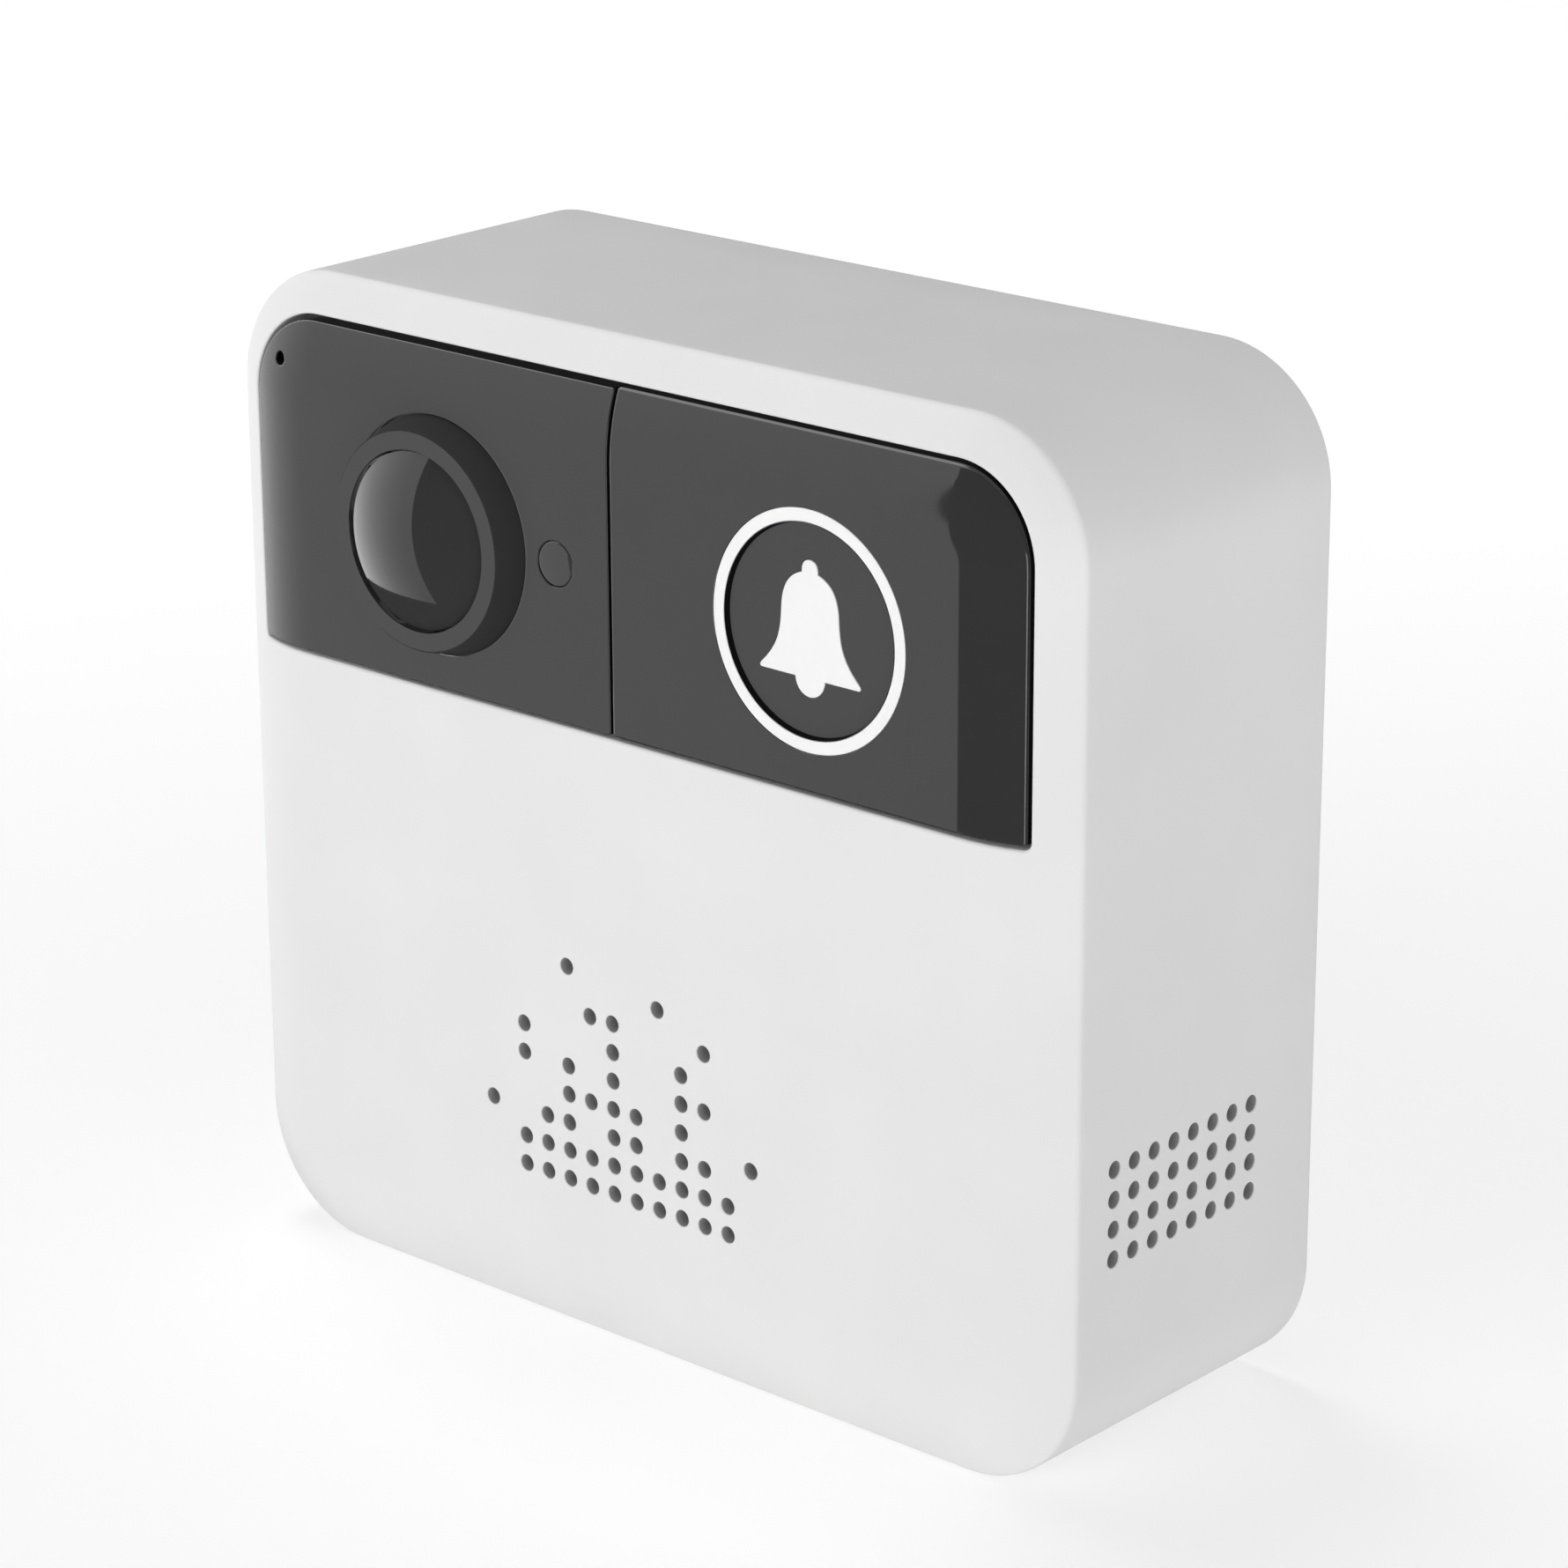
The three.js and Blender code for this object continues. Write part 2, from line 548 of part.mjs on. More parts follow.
const BACKING = { front: SKIN + GAP, back: SKIN + GAP + 0.8 };
const centreProfile = [
  [0, DISH_DEPTH],
  [RING_INNER - 0.3, DISH_DEPTH],
  [RING_INNER - 0.15, 0],
  [RING_INNER - 0.15, SKIN],
  [0, SKIN],
];
const ringProfile = [
  [RING_INNER, 0],
  [RING_OUTER, 0],
  [RING_OUTER, BACKING.front],
  [RING_OUTER + 0.9, BACKING.front],
  [RING_OUTER + 0.9, BACKING.back],
  [7, BACKING.back],
  [7, BACKING.front],
  [RING_INNER, BACKING.front],
];
const bellHole = slab(bellShape(1.04), -1, SKIN + 1, 5);
const bellInlay = slab(bellShape(1), DISH_DEPTH - 0.1, BACKING.front + 0.3, 5);
const inlayFlange = rod(0, 0, 6.4, BACKING.front, BACKING.back, 20);

place(button, 'bell_button', BLACK_GLOSS, bellButton());
place(button, 'button_centre', BLACK_GLOSS, turned(centreProfile, 24).subtract(bellHole));
place(button, 'ring_light_guide', MILKY_PLASTIC, turned(ringProfile, 24));
place(button, 'bell_icon', MILKY_PLASTIC, bellInlay.add(inlayFlange));

const PLUNGER = { front: BACKING.back + GAP, back: 4.7, radius: 1.6 };
const switchFront = PLUNGER.back - 0.6;
const switchCase = block(-3, 3, switchFront, BUTTON_BOARD.front - GAP, -3, 3);
const wellBack = PLUNGER.back + BUTTON_TRAVEL + 0.2;
const switchWell = rod(0, 0, PLUNGER.radius + 0.25, switchFront - 0.1, wellBack, 12);
const buttonBoard = block(-17, 17, BUTTON_BOARD.front, BUTTON_BOARD.back, -13, 13);
place(button, 'switch_plunger', GREY_PLASTIC, rod(0, 0, PLUNGER.radius, PLUNGER.front, PLUNGER.back, 12));
place(button, 'switch_case', BLACK_PLASTIC, switchCase.subtract(switchWell));
place(button, 'button_board', CIRCUIT_BOARD, buttonBoard);
LIGHT_ANGLES.forEach((angle, i) => {
  const { x, z } = lightPlace(angle);
  const shape = block(-1, 1, BUTTON_BOARD.front - GAP - 1, BUTTON_BOARD.front - GAP, -1, 1);
  place(button, `ring_light_${i + 1}`, EMITTER, shape, [x, 0, z]);
});

// ---------------------------------------------------------------- main board
const boardOutline = rectangle(-41.2, 41.2, 48.8, 81.6, { topLeft: 8, topRight: 8 });
place(doorbell, 'main_board', CIRCUIT_BOARD, slab(boardOutline, MAIN_BOARD.front, MAIN_BOARD.back, 4));

const boardRear = MAIN_BOARD.back + GAP;
place(doorbell, 'processor', CHIP, block(4, 17, MAIN_BOARD.front - 1.5, MAIN_BOARD.front - GAP, 58, 71));
const wifiBoard = block(-14, 4, boardRear, boardRear + 0.8, 54, 76);
const wifiShield = block(-12.5, 2.5, boardRear + 0.7, boardRear + 3.1, 56, 69);
place(doorbell, 'wifi_module', STEEL, wifiBoard.add(wifiShield));
place(doorbell, 'antenna', RIBBON, block(-28, 8, 12, 18, 82.9, 83.5));

function usbSocket() {
  const shell = block(-1.45, 1.45, boardRear, 27.6, -3.9, 3.9);
  const mouth = block(-1, 1, boardRear + 1, 28, -3.4, 3.4);
  const tongue = block(-0.3, 0.3, boardRear + 0.5, 27, -2.3, 2.3);
  return shell.subtract(mouth).add(tongue);
}

place(doorbell, 'micro_usb_socket', STEEL, usbSocket(), [USB.x, 0, USB.z]);

const resetCase = block(-3, 3, boardRear, 25.4, -3, 3).subtract(rod(0, 0, 1.5, 23.6, 26, 10));
const resetProfile = [
  [0, 24.4],
  [1.2, 24.4],
  [1.2, 27.2],
  [2.9, 27.2],
  [2.9, 28.4],
  [2, 28.4],
  [2, COVER.back - 0.2],
  [0, COVER.back - 0.2],
];
place(doorbell, 'reset_switch', BLACK_PLASTIC, resetCase, [RESET.x, 0, RESET.z]);
place(doorbell, 'reset_button', GREY_PLASTIC, turned(resetProfile, 14), [RESET.x, 0, RESET.z]);

// ---------------------------------------------------------------- speakers
const speakerRim = 14.2;
const speakerFrame = [
  [0, 5.5],
  [9, 5.5],
  [11.6, 3.65],
  [speakerRim, 3.65],
  [speakerRim, 4.6],
  [12, 4.6],
  [9.6, 6.3],
  [0, 6.3],
];
const speakerCone = [
  [0, 3.7],
  [3, 4.2],
  [4, 4.6],
  [9, 3.8],
  [10.6, 3.65],
  [10.6, 4],
  [9, 4.3],
  [4, 5],
  [0, 4.3],
];
const gasketProfile = [[11.8, 2.85], [speakerRim, 2.85], [speakerRim, 3.35], [11.8, 3.35]];
place(speaker, 'grille_mesh', BLACK_PLASTIC, rod(0, 0, speakerRim + 1, WALL + GAP, WALL + 2 * GAP, 24));
place(speaker, 'speaker_gasket', RUBBER, turned(gasketProfile, 24));
place(speaker, 'speaker_frame', STEEL, turned(speakerFrame, 24));
place(speaker, 'speaker_cone', PAPER_CONE, turned(speakerCone, 24));
place(speaker, 'speaker_magnet', STEEL, rod(0, 0, 7, 6.6, 8.8, 20));

const speakerRoute = [[6, 5.4, 39.2], [6, 7, 45], [7, 11, 49], [8, 16, 51.5], [8, 19.2, 55]];
place(doorbell, 'speaker_lead', RUBBER, lead(speakerRoute, 0.6));

const sideSpeakerShape = roundedRectangle(6.4, 26.2, 17.7, 29.7, 3);
place(doorbell, 'side_speaker', BLACK_PLASTIC, bar(sideSpeakerShape, 39.2, 41.9, 3));
place(doorbell, 'side_grille_mesh', BLACK_PLASTIC, bar(sideSpeakerShape, 42.25, 42.6, 3));

// ---------------------------------------------------------------- batteries
function batteryTray() {
  const { halfWidth, front, back, bottom, top, wall } = TRAY;
  const pocket = [wall - halfWidth, halfWidth - wall, front + wall, back + 1, bottom + wall, top - wall];
  const shell = block(-halfWidth, halfWidth, front, back, bottom, top).subtract(block(...pocket));
  const cradleHalf = halfWidth - wall + 0.5;
  const cradle = block(-cradleHalf, cradleHalf, front + wall - 0.5, 12.6, 22.6, 26.6);
  return shell.add(cradle);
}

place(doorbell, 'battery_tray', BLACK_PLASTIC, batteryTray());

// One cell lying along +X from x = 0, with its raised contact at the far end.
function cell() {
  const nub = { radius: 3.2, height: 1 };
  const profile = [
    [0, 0],
    [CELL_RADIUS - 0.6, 0],
    [CELL_RADIUS, 0.6],
    [CELL_RADIUS, CELL_LENGTH - 0.6],
    [CELL_RADIUS - 0.6, CELL_LENGTH],
    [nub.radius, CELL_LENGTH],
    [nub.radius, CELL_LENGTH + nub.height],
    [0, CELL_LENGTH + nub.height],
  ];
  return turned(profile, 20).rotate([0, 0, -90]);
}

// A tapering contact coil that stands on its wide end at x = 0.
class ContactCoil extends THREE.Curve {
  getPoint(t) {
    const turns = 3;
    const radius = 4.6 - 2 * t;
    const angle = 2 * Math.PI * turns * t;
    return new THREE.Vector3(0.5 + 3.4 * t, radius * Math.cos(angle), radius * Math.sin(angle));
  }
}

// The two cells lie head to tail, so the upper set is the lower one turned half round.
const CELL_START = -31.4;
const COIL_START = -36.2;
const PLATE_START = 35.4;
for (const [level, height] of Object.entries(CELL_HEIGHTS)) {
  const row = new THREE.Group();
  row.position.z = height;
  row.rotation.z = level === 'upper' ? Math.PI : 0;
  battery.add(row);
  place(row, `battery_cell_${level}`, CELL_WRAP, cell(), [CELL_START, 0, 0]);
  place(row, `contact_coil_${level}`, STEEL, wire(new ContactCoil(), 0.4, 28), [COIL_START, 0, 0]);
  place(row, `contact_plate_${level}`, STEEL, block(0, 0.5, -6, 6, -6, 6), [PLATE_START, 0, 0]);
}

const batteryRoute = [[-30, 16, 45.6], [-30, 16, 48], [-30, 17.5, 51], [-30, 19.2, 53]];
place(doorbell, 'battery_lead', RUBBER, lead(batteryRoute, 0.8));

// ---------------------------------------------------------------- battery door
function batteryDoor() {
  const { halfWidth, top, thickness, pivotY, pivotZ, pinRadius } = DOOR;
  const section = new THREE.Shape();
  section.moveTo(pivotY + thickness, pivotZ);
  section.lineTo(pivotY + thickness, top);
  section.lineTo(pivotY, top);
  section.lineTo(pivotY, pivotZ + thickness);
  section.absarc(pivotY, pivotZ, thickness, Math.PI / 2, 2 * Math.PI);
  const thumb = crossRod(pivotY + thickness + 5.4, top - 5, 6.2, -7, 7, 24);
  const pins = [-1, 1].map((side) => {
    const ends = [side * (halfWidth - 1), side * (halfWidth + 1.9)].sort((a, b) => a - b);
    return crossRod(pivotY, pivotZ, pinRadius, ...ends, 10);
  });
  return join([bar(section, -halfWidth, halfWidth), ...pins]).subtract(thumb);
}

place(doorbell, 'battery_door', WHITE_PLASTIC, batteryDoor());

// ---------------------------------------------------------------- rear cover
function hookWindow(x, z) {
  const half = HOOK.width / 2 + 0.5;
  const [low, high] = [z - BRACKET_TRAVEL - 0.4, z + HOOK.neck + GAP];
  return block(x - half, x + half, COVER.front - 1, COVER.back + 1, low, high);
}

function hookPlaces() {
  return HOOK_HEIGHTS.flatMap((z) => [-HOOK.x, HOOK.x].map((x) => ({ x, z })));
}

function rearCover() {
  const plate = loft([{ inset: COVER.inset, y: COVER.front }, { inset: COVER.inset, y: COVER.back }]);
  const clear = 0.4;
  const doorEdge = DOOR.halfWidth + clear;
  const doorOpening = rectangle(-doorEdge, doorEdge, DOOR.pivotZ - DOOR.thickness - GAP, DOOR.top + clear);
  const plugOpening = roundedRectangle(USB.x - 3.6, USB.x + 3.6, USB.z - 5.8, USB.z + 5.8, 1.5);
  const lugs = [-1, 1].map((side) => {
    const ends = [side * doorEdge, side * (doorEdge + 3)].sort((a, b) => a - b);
    return block(...ends, 27.3, COVER.front + 0.5, 4.9, 8.3);
  });
  const bores = [-1, 1].map((side) => {
    const ends = [side * (doorEdge - 1), side * (doorEdge + 2)].sort((a, b) => a - b);
    return crossRod(DOOR.pivotY, DOOR.pivotZ, DOOR.pinRadius + 0.3, ...ends, 10);
  });
  return cut(join([plate, ...lugs]), [
    slab(doorOpening, COVER.front - 3, COVER.back + 1),
    slab(plugOpening, COVER.front - 1, COVER.back + 1, 3),
    rod(RESET.x, RESET.z, 2.3, COVER.front - 1, COVER.back + 1, 14),
    ...screwPlaces().map(({ x, z }) => rod(x, z, 1.5, COVER.front - 1, COVER.back + 1, 10)),
    ...hookPlaces().map(({ x, z }) => hookWindow(x, z)),
    ...bores,
  ]);
}

place(doorbell, 'rear_cover', WHITE_PLASTIC, rearCover());

const gasket = band(COVER.inset, COVER.inset + 1.1, LEDGE.back + GAP, COVER.front - GAP);
place(doorbell, 'rear_gasket', RUBBER, gasket);

function rearScrew() {
  const head = COVER.back + GAP;
  const tip = BOSS.front + 0.7;
  const profile = [
    [0, tip],
    [1.1, tip],
    [1.1, head],
    [2.4, head],
    [2.4, head + 0.9],
    [1.6, head + 1.5],
    [0, head + 1.5],
  ];
  const across = block(-1.3, 1.3, head + 0.7, head + 2, -0.25, 0.25);
  const upright = block(-0.25, 0.25, head + 0.7, head + 2, -1.3, 1.3);
  return cut(turned(profile, 12), [across, upright]);
}

screwPlaces().forEach(({ x, z }, i) => {
  place(doorbell, `rear_screw_${i + 1}`, STEEL, rearScrew(), [x, 0, z]);
});

// ---------------------------------------------------------------- wall bracket
function wallBracket() {
  const { front, halfWidth, bottom, top } = BRACKET;
  const plate = slab(roundedRectangle(-halfWidth, halfWidth, bottom, top, 4), front, DEPTH, 4);
  const hooks = hookPlaces().flatMap(({ x, z }) => {
    const half = HOOK.width / 2;
    return [
      block(x - half, x + half, HOOK.lipFront, front + 0.5, z, z + HOOK.neck),
      block(x - half, x + half, HOOK.lipFront, HOOK.lipBack, z, z + HOOK.lip),
    ];
  });
  const sink = [[0, front - 0.5], [4.4, front - 0.5], [2.2, front + 1.4], [0, front + 1.4]];
  const wallScrewHoles = [-12, 12].flatMap((x) => [
    rod(x, 66, 2.2, front - 1, DEPTH + 1, 16),
    turned(sink, 16).translate(x, 0, 66),
  ]);
  return cut(join([plate, ...hooks]), wallScrewHoles);
}

place(doorbell, 'wall_bracket', GREY_PLASTIC, wallBracket());

export default doorbell;
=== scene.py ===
"""Video doorbell: fine meshes, materials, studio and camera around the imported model.

Lengths are millimetres until a mesh is built. A point is (x, y, z) with y = 0 on the flat front
face and +Y towards the wall, so FRONT_Y is where that plane lies in the shared frame.
"""
import json
import math

import bmesh
import bpy
import numpy as np
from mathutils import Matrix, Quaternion, Vector
from mathutils.geometry import delaunay_2d_cdt
from mathutils.kdtree import KDTree

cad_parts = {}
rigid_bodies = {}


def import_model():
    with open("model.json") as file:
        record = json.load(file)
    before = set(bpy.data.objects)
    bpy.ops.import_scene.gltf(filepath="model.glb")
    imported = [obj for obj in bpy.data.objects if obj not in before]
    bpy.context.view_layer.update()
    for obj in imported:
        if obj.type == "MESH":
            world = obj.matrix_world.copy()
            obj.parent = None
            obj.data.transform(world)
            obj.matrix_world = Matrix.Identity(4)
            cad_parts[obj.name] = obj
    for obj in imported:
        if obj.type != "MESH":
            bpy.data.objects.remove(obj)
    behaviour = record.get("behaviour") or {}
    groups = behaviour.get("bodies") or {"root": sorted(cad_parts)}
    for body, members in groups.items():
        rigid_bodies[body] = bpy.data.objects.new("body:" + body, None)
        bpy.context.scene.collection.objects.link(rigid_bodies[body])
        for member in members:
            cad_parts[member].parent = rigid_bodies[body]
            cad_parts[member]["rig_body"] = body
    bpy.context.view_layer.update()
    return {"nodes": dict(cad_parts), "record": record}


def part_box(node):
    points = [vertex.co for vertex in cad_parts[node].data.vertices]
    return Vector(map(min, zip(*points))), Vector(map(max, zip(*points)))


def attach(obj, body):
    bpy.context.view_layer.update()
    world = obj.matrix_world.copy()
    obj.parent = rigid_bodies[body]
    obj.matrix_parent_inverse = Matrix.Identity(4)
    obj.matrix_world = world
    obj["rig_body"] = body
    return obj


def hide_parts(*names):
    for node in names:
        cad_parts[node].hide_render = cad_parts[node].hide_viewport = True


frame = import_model()

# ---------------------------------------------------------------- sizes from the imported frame
MM = 0.001
FRONT_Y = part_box("front_housing")[0].y / MM


def span(node, axis):
    """Lowest and highest value of a CAD node along an axis, in millimetres."""
    low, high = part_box(node)
    shift = FRONT_Y if axis == 1 else 0.0
    return low[axis] / MM - shift, high[axis] / MM - shift


def centre(node):
    """Centre (x, z) of a CAD node, in millimetres."""
    (x0, x1), (z0, z1) = span(node, 0), span(node, 2)
    return (x0 + x1) / 2, (z0 + z1) / 2


WIDTH = span("front_housing", 0)[1] * 2
HEIGHT = span("front_housing", 2)[1]
DEPTH = span("front_housing", 1)[1]
WALL = 2.0
CORNER_RADIUS = 10.8
CORNER_STEPS = 20
SIDE_PITCH = 1.6  # spacing of the points along straight sides
FINE_PITCH = 0.4  # the same where an outline crosses the rolled band
EDGE_MARGIN = 0.06  # flat strip beside a rounded edge, so that the face shades evenly
SHARP_ANGLE = math.radians(35)  # edges sharper than this aren't shaded smooth

# The front face rolls back towards its edge over this band.
ROLL_WIDTH = 10.0
ROLL_DEPTH = 3.2
ROLL_POWER = 2.2
ROLL_PITCH = 0.4  # spacing of the rings of points over the band
EDGE_ROUND = 0.38  # rounding where the roll meets the side wall
RIM_ROUND = 0.4

# Dark window.
WINDOW = (-41.6, 41.4, 54.2, 83.2)  # left, right, bottom, top
WINDOW_RADII = (0.6, 7.4, 7.4, 0.6)  # from the lower right corner, anticlockwise
WINDOW_ROUND = 0.28
SEAM_X = -0.3
SEAM_WIDTH = 0.3
PLATE_GAP = 0.3
PLATE_THICKNESS = 1.8

# Camera, from the bezel's and the dome's axis.
LENS_X, LENS_Z = centre("lens_bezel")
DOME_APEX = span("lens_dome", 1)[0]
DOME_RADIUS = 7.4
DOME_CURVATURE = 16.2
DOME_INNER_RADIUS = 6.3
DOME_INNER_CURVATURE = 11.0
DOME_THICKNESS = 1.27
DOME_FOOT = 3.4  # depth of the dome's lower edge
BEZEL_RADIUS = 10.0
BEZEL_BORE = 7.5
BEZEL_FACE = -2.4  # depth of the bezel's face
BEZEL_BACK = 3.0
SENSOR_X, SENSOR_Z = centre("light_sensor_window")
MIC_X, MIC_Z = centre("microphone_boot")

# Bell button.
BELL_X, BELL_Z = centre("ring_light_guide")
RING_OUTER = 9.7
RING_INNER = 8.65
DISH_DEPTH = 0.5
BELL_LEAN = -0.2  # offset of the bell from the ring's centre

# Sound holes.
HOLE_PITCH = 2.5
HOLE_RADIUS = 0.72
HOLE_ROUND = 0.1
HOLE_RIM = HOLE_RADIUS + HOLE_ROUND + 0.05  # where the flat face round a hole begins
HOLE_STEPS = 24
FRONT_GRILLE = (-10.8, 14.8)
FRONT_GRILLE_COLUMNS = (
    (-1.5, (2,)),
    (0, (0, 1, 4, 5)),
    (1, (0, 1, 2)),
    (2, (0, 1, 2, 3, 4, 7.5)),
    (3, (0, 1, 3, 6)),
    (4, (0, 1, 2, 3, 4, 5, 6)),
    (5, (0, 1, 2, 3)),
    (6, (0, 1, 7)),
    (7, (0, 1, 2, 3, 4, 5)),
    (8, (0, 1, 2, 4, 6)),
    (9, (0, 1)),
    (10, (2.5,)),
)
SIDE_GRILLE = (7.6, 19.9)  # y and z of the first hole
SIDE_COLUMNS = 8
SIDE_ROWS = 4
SIDE_PATCH = (5.2, 27.6)  # the stretch of the side wall, in y, that holds the grille

# Fittings on the inside of the housing: inner and outer radius, and the depths they reach between.
BOSS = (1.3, 3.0, 22.5, 27.8)
SPEAKER_WALL = (15.6, 16.8, 1.6, 4.6)


# ---------------------------------------------------------------- outlines
def rounded_loop(box, radii, grow=0.0, pitch=SIDE_PITCH):
    """Rounded rectangle (x0, x1, z0, z1) as a ring, anticlockwise from the lower right corner.

    grow moves the outline outwards and leaves the number of points as it is.
    """
    x0, x1, z0, z1 = box
    corners = ((x1, z0, 1, -1), (x1, z1, 1, 1), (x0, z1, -1, 1), (x0, z0, -1, -1))
    arcs = []
    for number, ((x, z, side_x, side_z), radius) in enumerate(zip(corners, radii)):
        middle_x, middle_z = x - side_x * radius, z - side_z * radius
        angles = np.linspace((number - 1) * math.pi / 2, number * math.pi / 2, CORNER_STEPS + 1)
        reach = radius + grow
        arcs.append([(middle_x + reach * math.cos(a), middle_z + reach * math.sin(a)) for a in angles])
    ring = []
    for number, arc in enumerate(arcs):
        start, end = np.array(arc[-1]), np.array(arcs[(number + 1) % 4][0])
        count = max(1, round(float(np.linalg.norm(end - start)) / pitch))
        ring += arc
        ring += [tuple(start + (end - start) * i / count) for i in range(1, count)]
    return ring


def circle(x, z, radius, steps=HOLE_STEPS):
    """A circle as a ring of (x, z)."""
    angles = [2 * math.pi * i / steps for i in range(steps)]
    return [(x + radius * math.cos(a), z + radius * math.sin(a)) for a in angles]


def case_loop(inset):
    """Outline of the case, shrunk by an inset."""
    return rounded_loop((-WIDTH / 2, WIDTH / 2, 0, HEIGHT), (CORNER_RADIUS,) * 4, -inset)


def inset_at(x, z):
    """Distance of a point from the case outline, measured inwards."""
    dx = abs(x) - (WIDTH / 2 - CORNER_RADIUS)
    dz = abs(z - HEIGHT / 2) - (HEIGHT / 2 - CORNER_RADIUS)
    return CORNER_RADIUS - math.hypot(max(dx, 0), max(dz, 0)) - min(max(dx, dz), 0)


def roll(x, z):
    """How far back the front face lies at a point."""
    return ROLL_DEPTH * max(0.0, 1 - inset_at(x, z) / ROLL_WIDTH) ** ROLL_POWER


def flat(level):
    """A surface at one depth."""
    return lambda x, z: level


def lifted(ring, surface):
    """A ring of (x, z) laid on a surface."""
    return [(x, surface(x, z), z) for x, z in ring]


def raised(surface):
    """The lift that takes a flat point to a surface."""
    return lambda x, z: (x, surface(x, z), z)


def behind(surface, distance):
    """The same surface, further back."""
    return lambda x, z: surface(x, z) + distance


def offset_loop(loop, distance):
    """An anticlockwise ring moved outwards along its corners' normals."""
    moved = []
    for i, point in enumerate(loop):
        before, here, after = (Vector(loop[k % len(loop)]) for k in (i - 1, i, i + 1))
        one, two = (here - before).normalized(), (after - here).normalized()
        normal = Vector((one.y + two.y, -one.x - two.x)).normalized()
        stretch = min(2.0, 1 / max(0.1, normal.dot(Vector((one.y, -one.x)))))
        moved.append(tuple(here + normal * distance * stretch))
    return moved


def bezier(points, steps):
    """Points of a Bezier curve after its start."""
    result = []
    for i in range(1, steps + 1):
        layer = [np.array(p, float) for p in points]
        while len(layer) > 1:
            layer = [a + (b - a) * i / steps for a, b in zip(layer, layer[1:])]
        result.append(tuple(layer[0]))
    return result


def roll_points():
    """Points spread over the rolled band of the front face."""
    insets = np.arange(EDGE_ROUND + ROLL_PITCH, ROLL_WIDTH, ROLL_PITCH)
    return [point for inset in insets for point in case_loop(inset)]


def inside(loops, points):
    """True for each point that lies inside an odd number of the rings."""
    points = np.array(points, float).reshape(-1, 2)
    result = np.zeros(len(points), bool)
    for loop in loops:
        ring = np.array(loop, float)
        for (x0, z0), (x1, z1) in zip(ring, np.roll(ring, -1, 0)):
            crosses = (z0 > points[:, 1]) != (z1 > points[:, 1])
            if z0 != z1:
                at = x0 + (points[:, 1] - z0) * (x1 - x0) / (z1 - z0)
                result ^= crosses & (points[:, 0] < at)
    return result


def scattered(loops, points, clearance):
    """The points that lie in the area between the rings, clear of the rings and of each other."""
    points = [p for p, keep in zip(points, inside(loops, points)) if keep]
    edge = [p for loop in loops for p in loop]
    tree = KDTree(len(edge))
    for i, (x, z) in enumerate(edge):
        tree.insert((x, z, 0), i)
    tree.balance()
    return [p for p in points if tree.find((p[0], p[1], 0))[2] > clearance]


# ---------------------------------------------------------------- meshes
class Skin:
    """Collects the faces of one piece."""

    def __init__(self):
        self.points = []
        self.faces = []
        self.slots = []

    def add(self, points, faces, slot=0):
        start = len(self.points)
        self.points.extend(tuple(float(c) for c in p) for p in points)
        self.faces.extend(tuple(start + i for i in face) for face in faces)
        self.slots.extend([slot] * len(faces))

    def strip(self, loops, slot=0, skip=()):
        """Joins neighbouring rings of equal length with quads, except along the skipped steps."""
        count = len(loops[0])
        faces = []
        for row in range(len(loops) - 1):
            for i in range(count):
                if i not in skip:
                    a, b = row * count + i, row * count + (i + 1) % count
                    faces.append((a, b, b + count, a + count))
        self.add([p for loop in loops for p in loop], faces, slot)

    def patch(self, loops, lift, extra=()):
        """Fills the area between flat rings; lift turns a flat point into a point in space."""
        flat_points, edges = [], []
        for loop in loops:
            start, count = len(flat_points), len(loop)
            flat_points += [Vector(p) for p in loop]
            edges += [(start + i, start + (i + 1) % count) for i in range(count)]
        flat_points += [Vector(p) for p in extra]
        points, _, faces, _, _, _ = delaunay_2d_cdt(flat_points, edges, [], 0, 1e-6)
        middles = [sum((points[i] for i in face), Vector((0, 0))) / 3 for face in faces]
        kept = [face for face, keep in zip(faces, inside(loops, middles)) if keep]
        self.add([lift(*p) for p in points], kept)

    def sweep(self, profile, x, z, sides, slot=0):
        """The surface that an open profile of (radius, y) leaves, turned about the Y axis through (x, z)."""
        self.strip([lifted(circle(x, z, r, sides), flat(y)) for r, y in profile], slot)

    def lathe(self, profile, x, z, sides=96):
        """A body turned about the Y axis through (x, z); the profile is a closed ring of (radius, y)."""
        rings = []
        for i in range(sides):
            a = 2 * math.pi * i / sides
            rings.append([(x + r * math.cos(a), y, z + r * math.sin(a)) for r, y in profile])
        self.strip(rings + rings[:1])

    def build(self, name, body, materials, replaced):
        """Makes the object, closes its seams and lets it ride on a body."""
        work = bmesh.new()
        corners = [work.verts.new((x * MM, (y + FRONT_Y) * MM, z * MM)) for x, y, z in self.points]
        for face, material in zip(self.faces, self.slots):
            made = work.faces.new([corners[i] for i in face])
            made.material_index = material
        bmesh.ops.remove_doubles(work, verts=work.verts, dist=2e-7)
        bmesh.ops.dissolve_degenerate(work, edges=work.edges, dist=1e-8)
        bmesh.ops.recalc_face_normals(work, faces=work.faces)
        mesh = bpy.data.meshes.new(name)
        work.to_mesh(mesh)
        work.free()
        finish_piece(mesh, name, body, materials, replaced)


def finish_piece(mesh, name, body, materials, replaced):
    """Shades a mesh smooth, lets it ride on a body and take the place of a CAD node.

    Pieces are left out of reflections, so that the gloss shows only the studio's screens.
    """
    for material in materials:
        mesh.materials.append(material)
    mesh.polygons.foreach_set("use_smooth", [True] * len(mesh.polygons))
    mesh.set_sharp_from_angle(angle=SHARP_ANGLE)
    piece = bpy.data.objects.new(name, mesh)
    bpy.context.scene.collection.objects.link(piece)
    piece.visible_glossy = False
    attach(piece, body)
    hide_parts(*replaced)


